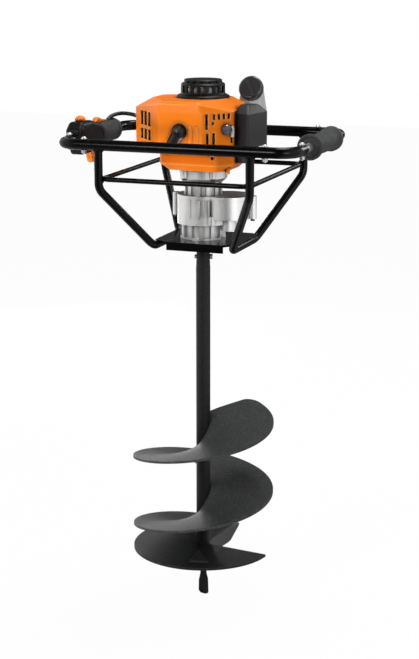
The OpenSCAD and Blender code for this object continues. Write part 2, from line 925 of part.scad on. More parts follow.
// Rubber elbow over the spark plug, its stem running down to the lead
module plug_boot() {
    color([0.09, 0.09, 0.1])
        difference() {
            union() {
                translate([cyl_x, -101.5, cyl_z])
                    rotate([90, 0, 0])
                        rotate_extrude()
                            polygon([[0, 0], [9.5, 0], [9.5, 8], [12.5, 14], [13, 22], [11.5, 29], [8, 33],
                                [0, 34.5]]);
                bar([cyl_x, -124, cyl_z], [cyl_x - 16, -124, cyl_z - 26], 17);
            }
            translate([cyl_x, -86, cyl_z])
                rotate([90, 0, 0])
                    cylinder(d = 9, h = 37);
        }
}

module muffler() {
    color([0.35, 0.35, 0.36])
        difference() {
            union() {
                translate([0, 0, 990])
                    linear_extrude(58)
                        polygon(rounded([[-62, -90], [-92, -62], [-122, -20], [-122, 30], [-62, 30]], 8));
                translate([-64, -78, cyl_z - 12])
                    cube([60, 20, 24]);
            }
            cylinder_barrel();
            translate([-110, -14, 1000])
                cube([36, 30, 40]);
        }
}

module carburettor() {
    color([0.5, 0.5, 0.52])
        difference() {
            union() {
                translate([44, -74, cyl_z - 18])
                    linear_extrude(40)
                        polygon(rounded([[0, 8], [20, 8], [32, 24], [32, 60], [0, 60]], 3));
                translate([4, -70, cyl_z - 12])
                    cube([42, 20, 24]);
                translate([70, snout_y, cyl_z])
                    rotate([0, 90, 0])
                        cylinder(r = 11, h = 15);
            }
            cylinder_barrel();
            translate([40, snout_y, cyl_z])
                rotate([0, 90, 0])
                    cylinder(r = 7, h = 60);
        }
}

function plan_top() = [[-51, -120], [40, -120], [85, -60], [85, 62], [20, 62], [-70, 80], [-138, 45],
    [-138, -25]];
function plan_crown() = [[-50, -118], [35, -118], [61, -52], [61, 40], [40, 60], [-50, 60], [-104, 30],
    [-104, -36]];
function plan_low() = [[-70, -72], [58, -84], [82, -46], [82, 52], [-70, 60]];

// Slab of one of the two outlines, drawn in by t
module slab(plan, t, r, z, h) {
    translate([0, 0, z])
        linear_extrude(h)
            polygon(rounded(inset(plan, t), r));
}

// Closed outer form of the shroud, drawn in by t
module shroud_form(t) {
    slab(plan_top(), t, 9, 978 + t, 1058 - 978 - t);
    hull() {
        slab(plan_top(), t, 9, 1056, 2);
        slab(plan_crown(), t, 9, shroud_z - 6 - t, 1);
        slab(plan_crown(), t + 8, 9, shroud_z - t - 1, 1);
    }
    hull() {
        slab(plan_low(), t, 12, 979 + t, 1);
        slab(plan_low(), t, 12, 950, 1);
        slab(plan_low(), t + 14, 12, 936 + t, 1);
    }
}

// Places on the right front face: along it, and height
module on_face(s, z) {
    translate([40 + 45 * s, -120 + 60 * s, z])
        rotate([0, 0, face_turn])
            children();
}

// Moulded engine shroud with cooling slots, plug opening and primer hole
module shroud() {
    color([0.95, 0.45, 0.02])
        difference() {
            shroud_form(0);
            shroud_form(shroud_t);
            translate([0, 0, 900])
                cylinder(r = 58, h = 60);
            translate([0, 0, 1060])
                cylinder(r = 41, h = 40);
            translate([cyl_x, -100, cyl_z])
                rotate([90, 0, 0])
                    cylinder(r = 16, h = 60);
            translate([cyl_x, -125, cyl_z])
                rotate([0, 31.6, 0])
                    translate([-12, -20, -34])
                        cube([24, 60, 34]);
            for (z = [997, 1025], k = [0 : 2])
                translate([-94.5, -72.5, z])
                    rotate([0, 0, atan2(-95, 87) + 180])
                        translate([k * 21 - 21, -20, 0])
                            cube([15, 40, z > 1020 ? 28 : 21]);
            on_face(0.13, 1026)
                translate([0, -20, 0])
                    cube([6.5, 40, 30]);
            for (k = [0, 1])
                on_face(0.15 + 0.2 * k, 992)
                    translate([0, -20, 0])
                        cube([6.5, 40, 26]);
            for (k = [0 : 3])
                on_face(0.37 + 0.155 * k, 1044)
                    translate([0, -20, 0])
                        cube([5.5, 40, 11]);
            on_face(0.32, 1035)
                translate([0, -20, 0])
                    rotate([0, 25, 0])
                        cube([5, 40, 7]);
            on_face(0.78, 1024)
                rotate([90, 0, 0])
                    cylinder(r = 10.4, h = 40, center = true);
            on_face(0.965, 1012)
                translate([-2.6, -20, -16])
                    cube([5.2, 40, 36]);
            translate([60, snout_y, cyl_z])
                rotate([0, 90, 0])
                    cylinder(r = 11.1, h = 60);
            translate([45, -70, 966])
                rotate([90, 0, 20])
                    cylinder(r = 3.2, h = 60, center = true);
        }
}

// Recoil starter cover with air slots
module starter_cover() {
    color([0.08, 0.08, 0.085])
        difference() {
            translate([0, 0, shroud_z])
                rotate_extrude()
                    polygon([[38, 0], [54, 0], [54, 3.5], [50, 6], [46.5, 7.5], [starter_r, 10],
                        [starter_r, 27],
                        [starter_r - 3, 29.5], [39, 29.5], [39, 35], [37, 36.5], [0, 36.5], [0, 33],
                        [35, 33], [35, 26], [starter_r - 4, 25], [starter_r - 4, 4], [38, 4]]);
            for (a = [10 : 20 : 350])
                rotate([0, 0, a])
                    translate([38, -4, shroud_z + 10.5])
                        cube([20, 8, 14]);
            for (a = [0 : 24 : 336])
                rotate([0, 0, a])
                    translate([33, -3.5, shroud_z + 30.5])
                        cube([10, 7, 3.2]);
            translate([-15, 30, shroud_z + 16])
                rotate([-90, 0, 0])
                    cylinder(d = 9, h = 30);
        }
}

// Starter handle at the rear, its stem in the rope eye
module starter_grip() {
    color([0.1, 0.1, 0.105])
        translate([-15, 0, shroud_z + 16]) {
            rotate([-90, 0, 0])
                translate([0, 0, 36])
                    cylinder(d = 8.2, h = 16);
            translate([0, 51, 0])
                rotate([-90, 0, 0])
                    rotate_extrude()
                        polygon([[0, 0], [7, 0], [8, 4], [8, 10], [0, 10]]);
            translate([-24, 66, 0])
                rotate([0, 90, 0])
                    rotate_extrude()
                        polygon([[0, 0], [5, 0], [7.5, 3], [8, 10], [7, 24], [8, 38], [7.5, 45], [5, 48],
                            [0, 48]]);
        }
}

module filter_box() {
    plan = [[85, -40], [85 + filter_w - 15, -58], [85 + filter_w, 20], [85 + filter_w - 4, 27], [85, 27]];
    color([0.13, 0.135, 0.14]) {
        hull() {
            translate([0, 0, 985])
                linear_extrude(68)
                    polygon(rounded(plan, 3));
            translate([0, 0, 1067])
                linear_extrude(1)
                    polygon(rounded([[87, -22], [85 + filter_w - 23, -32], [85 + filter_w - 14, 10],
                        [87, 14]], 4));
        }
        translate([85, -34, 952])
            linear_extrude(33)
                polygon(rounded([[0, 0], [12, 0], [12, 26], [0, 26]], 3));
    }
}

module cap_axis() {
    translate(cap_c)
        rotate([90 - cap_tilt, 0, 0])
            children();
}

function tank_plan() = [[46, 62], [95, 62], [95, 138], [46, 138]];

// Rounded body of the tank, drawn in by t
module tank_form(t) {
    hull() {
        slab(tank_plan(), t + 6, 8, 992 + t, 1);
        slab(tank_plan(), t, 12, 999 + t, 46 - 2 * t);
        cap_axis()
            translate([0, 0, -9 - t])
                cylinder(r = cap_r - 2 - t, h = 2);
    }
}

// Pale fuel tank with its filler neck
module fuel_tank() {
    color([0.85, 0.86, 0.86])
        difference() {
            union() {
                tank_form(0);
                cap_axis()
                    translate([0, 0, -12])
                        cylinder(r = 17, h = 12);
            }
            cap_axis()
                translate([0, 0, -14])
                    cylinder(r = 14, h = 46);
            tank_form(2.5);
        }
}

// Screw cap with a flat grip rib across its face
module fuel_cap() {
    color([0.1, 0.1, 0.105])
        cap_axis()
            difference() {
                union() {
                    translate([0, 0, -5.5])
                        rotate_extrude()
                            polygon([[0, 0], [cap_r - 1, 0], [cap_r, 1], [cap_r, 13], [cap_r - 3, 16],
                                [0, 16]]);
                    rotate([0, 0, 118])
                        translate([-cap_r + 4, -3, 10])
                            cube([2 * cap_r - 8, 6, 5]);
                    for (a = [0 : 12 : 348])
                        rotate([0, 0, a])
                            translate([cap_r - 0.5, -0.8, -3.5])
                                cube([1, 1.6, 10]);
                }
                translate([0, 0, -6])
                    cylinder(r = 17.1, h = 6.05);
            }
}

// Rubber primer bulb on the right front face
module primer() {
    color([0.32, 0.32, 0.36])
        on_face(0.78, 1024)
            rotate([90, 0, 0])
                translate([0, 0, -8])
                    rotate_extrude()
                        polygon([[0, 0], [10, 0], [10, 11], [9.5, 14], [8, 16.4], [5.2, 18], [0, 18.6]]);
}

// Choke slide beside the primer
module choke_lever() {
    color([0.8, 0.81, 0.82])
        on_face(0.965, 1012)
            translate([-2.2, 0, -4])
                rotate([90, 0, 90])
                    linear_extrude(4.4)
                        polygon(rounded([[-6, 0], [6, 0], [6, 22], [-2, 22], [-6, 16]], 1));
}

// Screw bit

// Points of one ring of the helical flight at angle a
function flight_outer(a) =
    a < flight_top_a - 11 ? flight_r
        : flight_r - 24 * (1 - sqrt(max(0, 1 - pow((a - flight_top_a + 11) / 11, 2))));
function flight_row(a) =
    let (z = flight_z0 + flight_lead * a / 360, ri = bit_r / cos(3) + 0.002, ro = flight_outer(a),
        c = cos(a), s = sin(a))
    [[ri * c, ri * s, z], [ro * c, ro * s, z],
        [ro * c, ro * s, z - flight_t], [ri * c, ri * s, z - flight_t]];

module flight() {
    steps = concat([for (a = [flight_end_a : 6 : flight_top_a - 12]) a],
        [for (k = [11 : -1 : 0]) flight_top_a - k * k / 11]);
    n = len(steps);
    pts = [for (a = steps) each flight_row(a)];
    faces = concat([[0, 1, 2, 3]],
        [for (i = [0 : n - 2], k = [0 : 3]) each [
            [4 * i + k, 4 * i + 4 + k, 4 * i + (k + 1) % 4],
            [4 * i + 4 + k, 4 * i + 4 + (k + 1) % 4, 4 * i + (k + 1) % 4]]],
        [[4 * n - 1, 4 * n - 2, 4 * n - 3, 4 * n - 4]]);
    color([0.29, 0.3, 0.29])
        rotate([0, 0, bit_turn])
            polyhedron(pts, faces);
}

// Tube with the driving socket at its top
module bit_tube() {
    color([0.16, 0.17, 0.16])
        difference() {
            rotate_extrude()
                polygon([[12, 112], [bit_r, 112], [bit_r, 729], [14.5, 731], [14.5, 741], [13.6, 741.5],
                    [13.6, 743.5], [14.5, 744], [14.5, 754], [13.8, 755], [13.8, 761],
                    [spindle_d / 2 + 0.05, 761], [spindle_d / 2 + 0.05, 690], [12, 690]]);
            translate([0, 0, 749])
                rotate([0, 90, bit_turn])
                    cylinder(d = 8.04, h = 60, center = true);
        }
}

module bottom_plate() {
    color([0.3, 0.31, 0.3])
        translate([0, 0, bottom_z - flight_t])
            rotate([0, 0, bit_turn - 268])
                rotate_extrude(angle = 240)
                    translate([bit_r, 0])
                        square([flight_r - bit_r, flight_t]);
}

// Hard cutter at the leading end of the flight, with a ground lower edge
module cutter() {
    z = flight_z0 + flight_lead * flight_end_a / 360;
    color([0.4, 0.41, 0.41])
        rotate([0, 0, bit_turn + flight_end_a])
            intersection() {
                rotate([90, 0, 90])
                    linear_extrude(flight_r)
                        polygon([[-8, z], [0, z], [0, z - 20], [-5.5, z - 32], [-8, z - 28]]);
                translate([0, 5, 0])
                    rotate([90, 0, 0])
                        linear_extrude(20)
                            polygon([[bit_r + 1.5, z + 1], [flight_r - 2, z + 1], [flight_r - 6, z - 6],
                                [100, z - 33],
                                [30, z - 33], [bit_r + 1.5, z - 14]]);
            }
}

// Three-cornered blade on the front of the bottom plate
module centre_blade() {
    color([0.33, 0.34, 0.33])
        rotate([0, 0, bit_turn])
            translate([0, 0, bottom_z])
                difference() {
                    linear_extrude(4)
                        polygon(rounded([[-30, -116], [12, -120], [-10, -52]], 2));
                    translate([-8, -98, -1])
                        cylinder(d = 8, h = 10);
                }
}

// Flat pilot point widening towards its slanted end
module pilot() {
    color([0.2, 0.21, 0.2])
        rotate([0, 0, bit_turn]) {
            rotate_extrude()
                polygon([[0, 52], [7, 56], [14, 100], [14, 112], [11.98, 112], [11.98, 150], [0, 150]]);
            translate([0, 4, 0])
                rotate([90, 0, 0])
                    linear_extrude(8)
                        polygon([[-6.5, 70], [6.5, 70], [6.8, 46], [10.2, 32], [11, 4], [9, 1], [3, 0],
                            [-6, 3], [-10.5, 9],
                            [-10.2, 30], [-6.8, 46]]);
        }
}

// Cross pin of the coupling, with a round head
module cross_pin() {
    color([0.45, 0.45, 0.46])
        translate([0, 0, 749])
            rotate([0, 90, bit_turn]) {
                translate([0, 0, -18])
                    cylinder(d = 8, h = 34);
                translate([0, 0, 14.6])
                    cylinder(d = 11, h = 5);
            }
}

rail_front();
rail_rear();
elbows_left();
elbows_right();
bar_left();
bar_right();
frame_bolts();
frame_nuts();
hoop_left();
hoop_right();
brace_ring();
base_plate();
grip_right();
grip_left();
control_housing();
trigger();
lockout();
stop_button();
cable_hose();
pedestal();
gear_case();
case_cover();
clutch_bell();
case_screws();
bell_screws();
plate_screws();
bearings();
crankcase();
cylinder_block();  // cylinder
spark_plug();
plug_boot();
muffler();
carburettor();
shroud();
starter_cover();
starter_grip();
crankshaft();
flywheel();
clutch_shoes();
clutch_drum();
filter_box();
fuel_tank();
fuel_cap();
primer();
choke_lever();
layshaft();
output_wheel();
spindle();
bit_tube();
flight();
bottom_plate();
cutter();
centre_blade();
pilot();
cross_pin();
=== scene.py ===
"""Looks of a two-operator earth auger: finishes, welds, screws, hose, rope and the studio stage."""

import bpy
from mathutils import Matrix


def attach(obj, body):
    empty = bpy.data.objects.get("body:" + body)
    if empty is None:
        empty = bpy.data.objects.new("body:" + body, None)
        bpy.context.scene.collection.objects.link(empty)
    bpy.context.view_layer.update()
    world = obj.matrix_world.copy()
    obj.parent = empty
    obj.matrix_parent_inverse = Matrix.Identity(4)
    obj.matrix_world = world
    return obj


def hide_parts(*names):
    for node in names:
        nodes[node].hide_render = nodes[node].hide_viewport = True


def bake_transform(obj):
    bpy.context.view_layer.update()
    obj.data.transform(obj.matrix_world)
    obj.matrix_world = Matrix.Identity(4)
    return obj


bl_info = {
    "name": "Earth auger looks",
    "version": (1, 0, 0),
    "blender": (4, 5, 0),
    "location": "View3D > Sidebar > Auger",
    "description": "Dresses the packed earth auger with finishes and fine pieces",
    "category": "Object",
}

import math

import bmesh
import bpy
from bpy.props import FloatProperty, FloatVectorProperty, IntProperty, PointerProperty
from mathutils import Vector
from mathutils.bvhtree import BVHTree

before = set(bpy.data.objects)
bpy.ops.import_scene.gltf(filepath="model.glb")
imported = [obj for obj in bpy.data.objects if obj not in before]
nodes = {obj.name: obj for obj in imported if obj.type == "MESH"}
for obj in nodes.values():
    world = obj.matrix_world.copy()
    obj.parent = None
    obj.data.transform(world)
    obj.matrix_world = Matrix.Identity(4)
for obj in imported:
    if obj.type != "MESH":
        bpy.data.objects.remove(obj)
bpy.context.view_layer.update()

# Places and sizes of the solids that the fine pieces follow, in metres and degrees; a rail is (y, outward)
FRAME_X = 0.005
LEG_HALF_X = 0.158
RAILS = ((-0.185, -1), (0.175, 1))
RAIL_Z = 0.996
BRACE_Z = 0.928
RIGHT_X = 0.250
GRIP_Y = 0.003
BIT_TURN = 20.0
LEAD = 0.151
FLIGHT_Z = 0.394
UPRIGHT = Vector((0.0, 0.0, 1.0))


# Sizes and colours that a user would change


def size(name, text, default, low, high):
    """A length in metres."""
    return FloatProperty(name=name, description=text, default=default, min=low, max=high, unit="LENGTH")


def colour(name, text, default):
    """A linear colour."""
    return FloatVectorProperty(
        name=name, description=text, default=default, size=3, min=0.0, max=1.0, subtype="COLOR"
    )


class AugerSizes(bpy.types.PropertyGroup):
    """Sizes of the fine pieces."""

    weld_radius: size("Weld radius", "Half width of a weld bead on the tubes", 0.0021, 0.001, 0.004)
    weld_step: size("Weld step", "Distance between the ripples of a weld", 0.0019, 0.001, 0.005)
    hose_diameter: size("Hose diameter", "Outside diameter of the cable hose", 0.0085, 0.006, 0.009)
    rope_diameter: size("Rope diameter", "Diameter of the starter rope", 0.0035, 0.002, 0.005)
    rib_height: size("Rib height", "Height of the ribs on the right grip", 0.0007, 0.0002, 0.002)
    rib_count: IntProperty(
        name="Rib count", description="Ribs round the right grip", default=36, min=8, max=72
    )
    screw_head: size("Screw head", "Head diameter of the shroud screw", 0.0062, 0.004, 0.012)
    case_rib: size("Case rib", "Width of the casting ribs on the gear case", 0.0044, 0.002, 0.008)
    seed: IntProperty(name="Seed", description="Seed of the weld ripples", default=7, min=0, max=1000)


class AugerColours(bpy.types.PropertyGroup):
    """Colours of the finishes."""

    frame_coat: colour("Frame coat", "Gloss coat of the tubes", (0.0010, 0.0010, 0.0011))
    bit_coat: colour("Bit coat", "Textured coat of the screw bit", (0.034, 0.036, 0.0345))
    shell: colour("Shell", "Engine shroud and controls", (0.90, 0.198, 0.0))
    moulding: colour("Moulding", "Black moulded plastic", (0.0030, 0.0031, 0.0033))
    rubber: colour("Rubber", "Grips", (0.034, 0.035, 0.036))
    alloy: colour("Alloy", "Die-cast gearbox", (0.745, 0.745, 0.74))
    tank: colour("Tank", "Fuel tank", (0.60, 0.61, 0.615))


# Node graphs


class Wire:
    """An output socket whose sums and products add Math nodes."""

    def __init__(self, graph, socket):
        self.graph = graph
        self.socket = socket

    def maths(self, operation, first, second):
        return self.graph.node("Math", {"operation": operation}, {0: first, 1: second})

    def __add__(self, other):
        return self.maths("ADD", self, other)

    def __radd__(self, other):
        return self.maths("ADD", other, self)

    def __sub__(self, other):
        return self.maths("SUBTRACT", self, other)

    def __rsub__(self, other):
        return self.maths("SUBTRACT", other, self)

    def __mul__(self, other):
        return self.maths("MULTIPLY", self, other)

    def __truediv__(self, other):
        return self.maths("DIVIDE", self, other)

    def __pow__(self, other):
        return self.maths("POWER", self, other)


class Graph:
    """A node tree to which nodes are added by type, settings and sockets."""

    def __init__(self, tree, prefix):
        self.tree = tree
        self.prefix = prefix

    def node(self, kind, settings=None, sockets=None, out=0):
        """Adds a node, sets it up and returns one of its outputs."""
        prefix = "ShaderNode" if kind == "Math" else self.prefix
        made = self.tree.nodes.new(kind if kind.startswith(("Shader", "Function")) else prefix + kind)
        for name, value in (settings or {}).items():
            setattr(made, name, value)
        for name, value in (sockets or {}).items():
            socket = made.inputs[name]
            if isinstance(value, Wire):
                self.tree.links.new(value.socket, socket)
            elif socket.type == "RGBA" and len(value) == 3:
                socket.default_value = (*value, 1.0)
            else:
                socket.default_value = value
        return Wire(self, made.outputs[out])

    def ramp(self, value, low, high):
        """Nought up to the low value, one from the high value on."""
        return self.node("MapRange", {"clamp": True}, {"Value": value, 1: low, 2: high, 3: 0.0, 4: 1.0})


# Numbers of a Mix node's colour sockets, which share their names with others
COLOUR_A, COLOUR_B, COLOUR_OUT = 6, 7, 2


class Finish(Graph):
    """A material; patterns are in metres on Object coordinates."""

    def __init__(self, name):
        self.material = bpy.data.materials.new(name)
        self.material.use_nodes = True
        super().__init__(self.material.node_tree, "ShaderNode")
        self.tree.nodes.clear()
        self.place = self.node("TexCoord", out="Object")

    def noise(self, scale, detail=3.0, roughness=0.55, place=None):
        """Soft noise; the scale is in waves to the metre."""
        return self.node(
            "TexNoise",
            {"noise_dimensions": "3D"},
            {"Vector": place or self.place, "Scale": scale, "Detail": detail, "Roughness": roughness},
            out="Fac",
        )

    def stretched(self, along):
        """Object coordinates drawn out along one axis, for brushed streaks."""
        return self.node("Mapping", None, {"Vector": self.place, "Scale": along})

    def between(self, mask, first, second):
        """The first colour where the mask is nought, the second where it is one."""
        return self.node(
            "Mix", {"data_type": "RGBA"}, {"Factor": mask, COLOUR_A: first, COLOUR_B: second}, out=COLOUR_OUT
        )

    def shaded(self, mask, tint, strength):
        """A colour multiplied by a grey mask."""
        grey = self.node("CombineColor", None, {0: mask, 1: mask, 2: mask})
        return self.node(
            "Mix",
            {"data_type": "RGBA", "blend_type": "MULTIPLY"},
            {"Factor": strength, COLOUR_A: tint, COLOUR_B: grey},
            out=COLOUR_OUT,
        )

    def open_air(self, distance, low, high):
        """Painted shade: one on open faces, nought in hollows where shade falls."""
        shade = self.node("AmbientOcclusion", {"samples": 8}, {"Distance": distance}, out="AO")
        return self.ramp(shade, low, high)

    def rounded_normal(self, radius):
        """Soft light on the edges of a sharp solid."""
        return self.node("Bevel", {"samples": 6}, {"Radius": radius})

    def edge(self, radius, reach):
        """One along edges, nought on flats; it marks edge wear on the coats and painted highlights on moulded
        plastic.
        """
        soft = self.rounded_normal(radius)
        flat = self.node("NewGeometry", out="Normal")
        same = self.node("VectorMath", {"operation": "DOT_PRODUCT"}, {0: soft, 1: flat}, out="Value")
        return self.ramp(1.0 - same, 0.0, reach)

    def bump(self, height, strength, distance, normal):
        """Relief on top of a softened normal."""
        return self.node(
            "Bump", None, {"Height": height, "Strength": strength, "Distance": distance, "Normal": normal}
        )

    def done(self, **sockets):
        """Ends the material; an underscore in a socket's name stands for a space."""
        named = {key.replace("_", " "): value for key, value in sockets.items()}
        self.surface(self.node("BsdfPrincipled", None, named, out="BSDF"))
        return self.material

    def surface(self, shader):
        out = self.tree.nodes.new("ShaderNodeOutputMaterial")
        self.tree.links.new(shader.socket, out.inputs["Surface"])


def scaled(tint, share):
    """A colour times a share, kept within white."""
    return tuple(min(1.0, channel * share) for channel in tint)


def gloss_coat(name, tint):
    """Stoved gloss coat with a faint orange peel, thin on the edges."""
    f = Finish(name)
    broad = f.noise(9.0, 2.0)
    peel = f.noise(420.0, 2.0, 0.4)
    edge_wear_and_highlight = f.edge(0.0012, 0.3) * f.ramp(f.noise(160.0), 0.45, 0.75)
    base = f.between(broad, scaled(tint, 0.8), scaled(tint, 1.25))
    base = f.between(edge_wear_and_highlight * 0.5, base, (0.05, 0.05, 0.052))
    return f.done(
        Base_Color=base,
        Roughness=broad * 0.08 + 0.17 + edge_wear_and_highlight * 0.15,
        Specular_IOR_Level=0.13,
        Normal=f.bump(peel, 0.10, 0.0004, f.rounded_normal(0.0009)),
    )


def textured_coat(name, tint, mottle, gloss):
    """Coarse powder coat of the bit: pebbled and mottled, with painted shade in its hollows, and pale specks.
    """
    f = Finish(name)
    pebble = f.noise(620.0, 4.0, 0.6)
    blotch = f.noise(240.0, 3.0, 0.7)
    cloud = f.noise(7.0, 2.0)
    specks = f.ramp(f.noise(430.0, 1.0, 0.3), 0.60, 0.74)
    uneven = cloud * (1.0 - mottle) + f.ramp(blotch, 0.3, 0.7) * mottle
    base = f.between(uneven, scaled(tint, 0.6), scaled(tint, 1.4))
    base = f.between(specks * mottle, base, scaled(tint, 3.0))
    edge_wear_and_highlight = f.edge(0.0014, 0.35) * f.ramp(f.noise(90.0), 0.3, 0.6)
    base = f.between(edge_wear_and_highlight * 0.55, base, (0.17, 0.17, 0.168))
    # Painted shade: darker where ambient occlusion finds hollows, between the flight's turns and next to the
    # tube
    base = f.shaded(f.open_air(0.09, 0.1, 0.9), base, 0.85)
    return f.done(
        Base_Color=base,
        Roughness=0.40 + blotch * 0.18 - specks * 0.10,
        Specular_IOR_Level=gloss,
        Normal=f.bump(pebble + specks * 0.4, 0.55, 0.0009, f.rounded_normal(0.0010)),
    )


def moulded(
    name, tint, rough, edge_highlight, bend=0.001, gloss=0.3, grain=1300.0, depth=0.16, reach=0.25, hollow_shade_reach=None
):
    """Moulded plastic: fine grain, slight flow shading, painted highlights along the edges and, if asked,
    painted shade in its hollows.
    """
    f = Finish(name)
    flow = f.noise(11.0, 2.0)
    fine = f.noise(grain, 2.0, 0.5)
    edge_wear_and_highlight = f.edge(bend, reach)
    base = f.between(flow, scaled(tint, 0.93), scaled(tint, 1.06))
    # Painted highlight: the edges are lightened towards the edge colour
    base = f.between(edge_wear_and_highlight * 0.8, base, edge_highlight)
    if hollow_shade_reach:
        # Painted shade: darker where ambient occlusion finds slots and recesses
        base = f.shaded(f.open_air(hollow_shade_reach, 0.66, 0.96), base, 0.95)
    return f.done(
        Base_Color=base,
        Roughness=rough + flow * 0.08 + fine * 0.06 - edge_wear_and_highlight * 0.08,
        Specular_IOR_Level=gloss,
        Normal=f.bump(fine, depth, 0.0005, f.rounded_normal(bend)),
    )


def soft_rubber(name, tint, pitch=900.0, rough=0.62):
    """Matt rubber with a pebbled skin and a dusty bloom."""
    f = Finish(name)
    cell = f.node(
        "TexVoronoi", {"feature": "SMOOTH_F1"}, {"Vector": f.place, "Scale": pitch}, out="Distance"
    )
    bloom = f.noise(26.0, 4.0)
    base = f.between(bloom, scaled(tint, 0.82), scaled(tint, 1.28))
    return f.done(
        Base_Color=base,
        Roughness=rough + bloom * 0.16,
        Specular_IOR_Level=0.3,
        Normal=f.bump(cell, 0.30, 0.0006, f.rounded_normal(0.0008)),
    )


def cast_metal(name, tint, ledge=None):
    """Die-cast alloy: blasted grain, painted shade in its corners and, if asked, painted shade on level faces
    up to a ledge.
    """
    f = Finish(name)
    grain = f.noise(1100.0, 3.0, 0.6)
    flow = f.noise(30.0, 3.0)
    base = f.between(flow, scaled(tint, 0.90), scaled(tint, 1.06))
    # Painted shade in corners and recesses, from ambient occlusion
    base = f.shaded(f.open_air(0.018, 0.0, 0.95), base, 0.7)
    # Painted shade: level faces below the ledge are darkened to near black
    if ledge:
        facing = f.node("TexCoord", out="Normal")
        level = f.ramp(f.node("SeparateXYZ", None, {0: facing}, out="Z"), 0.6, 0.9)
        height = f.node("SeparateXYZ", None, {0: f.place}, out="Z")
        below = 1.0 - f.ramp(height, ledge - 0.0003, ledge + 0.0003)
        base = f.between(level * below, base, (0.07, 0.07, 0.07))
    return f.done(
        Base_Color=base,
        Metallic=1.0,
        Roughness=0.33 + flow * 0.12 + grain * 0.08,
        Normal=f.bump(grain, 0.22, 0.0005, f.rounded_normal(0.0012)),
    )


def drawn_metal(name, tint, rough, along):
    """Plated or darkened steel with fine drawn streaks."""
    f = Finish(name)
    streak = f.noise(1.0, 3.0, 0.6, f.stretched(along))
    cloud = f.noise(45.0, 3.0)
    base = f.between(streak * 0.6 + cloud * 0.4, scaled(tint, 0.82), scaled(tint, 1.12))
    return f.done(
        Base_Color=base,
        Metallic=1.0,
        Roughness=rough + cloud * 0.12 + streak * 0.10,
        Normal=f.bump(streak, 0.06, 0.0003, f.rounded_normal(0.0008)),
    )


def clouded_plastic(name, tint):
    """Blow-moulded pale plastic, a little see-through in its depth."""
    f = Finish(name)
    cloud = f.noise(22.0, 3.0)
    fine = f.noise(700.0, 2.0)
    base = f.between(cloud, scaled(tint, 0.90), scaled(tint, 1.06))
    return f.done(
        Base_Color=base,
        Roughness=0.34 + cloud * 0.12,
        Subsurface_Weight=0.18,
        Subsurface_Radius=(0.006, 0.006, 0.005),
        Subsurface_Scale=1.0,
        Normal=f.bump(fine, 0.10, 0.0004, f.rounded_normal(0.0014)),
    )


def smoky_bulb(name, tint):
    """Smooth smoky rubber of the primer bulb."""
    f = Finish(name)
    cloud = f.noise(120.0, 2.0)
    base = f.between(cloud, scaled(tint, 0.75), scaled(tint, 1.3))
    return f.done(Base_Color=base, Roughness=0.20 + cloud * 0.10, Coat_Weight=0.4, Coat_Roughness=0.08)


# Geometry trees


SHARP_BEND = 0.6


class Shaper(Graph):
    """A Geometry Nodes tree with named inputs."""

    def __init__(self, name, inputs):
        tree = bpy.data.node_groups.new(name, "GeometryNodeTree")
        super().__init__(tree, "GeometryNode")
        tree.interface.new_socket("Geometry", in_out="INPUT", socket_type="NodeSocketGeometry")
        for label, kind, default in inputs:
            socket = tree.interface.new_socket(label, in_out="INPUT", socket_type="NodeSocket" + kind)
            if default is not None:
                socket.default_value = default
        tree.interface.new_socket("Geometry", in_out="OUTPUT", socket_type="NodeSocketGeometry")
        self.entry = tree.nodes.new("NodeGroupInput")

    def given(self, label):
        return Wire(self, self.entry.outputs[label])

    def close(self, geometry):
        """Ends the tree with real faces, smooth shading and the finish."""
        real = self.node("RealizeInstances", None, {0: geometry})
        smooth = self.node("SetShadeSmooth", None, {0: real})
        bend = self.node("InputMeshEdgeAngle")
        sharp = self.node("Math", {"operation": "GREATER_THAN"}, {0: bend, 1: SHARP_BEND})
        crisp = self.node(
            "SetShadeSmooth",
            {"domain": "EDGE"},
            {"Geometry": smooth, "Selection": sharp, "Shade Smooth": False},
        )
        painted = self.node("SetMaterial", None, {"Geometry": crisp, "Material": self.given("Finish")})
        out = self.tree.nodes.new("NodeGroupOutput")
        self.tree.links.new(painted.socket, out.inputs[0])
        return self.tree


def bead_tree():
    """Rippled weld beads along every edge path of the mesh it is given."""
    s = Shaper(
        "weld_beads",
        [("Radius", "Float", 0.002), ("Step", "Float", 0.002), ("Seed", "Int", 7),
         ("Finish", "Material", None)],
    )
    path = s.node("MeshToCurve", None, {"Mesh": s.given("Geometry")})
    even = s.node("ResampleCurve", {"mode": "LENGTH"}, {"Curve": path, "Length": s.given("Step")})
    drop = s.node("MeshIcoSphere", None, {"Radius": s.given("Radius"), "Subdivisions": 2})
    along = s.node("InputTangent")
    turn = s.node("FunctionNodeAlignRotationToVector", {"axis": "Z"}, {"Vector": along})
    vary = s.node(
        "FunctionNodeRandomValue",
        {"data_type": "FLOAT_VECTOR"},
        {"Min": (0.85, 0.85, 0.62), "Max": (1.12, 1.12, 0.78), "Seed": s.given("Seed")},
    )
    beads = s.node(
        "InstanceOnPoints", None, {"Points": even, "Instance": drop, "Rotation": turn, "Scale": vary}
    )
    return s.close(beads)


# Points along and across the flight, and how much closer they lie at its top
FLIGHT_ALONG = 620
FLIGHT_ACROSS = 10
FLIGHT_CROWDING = 1.6


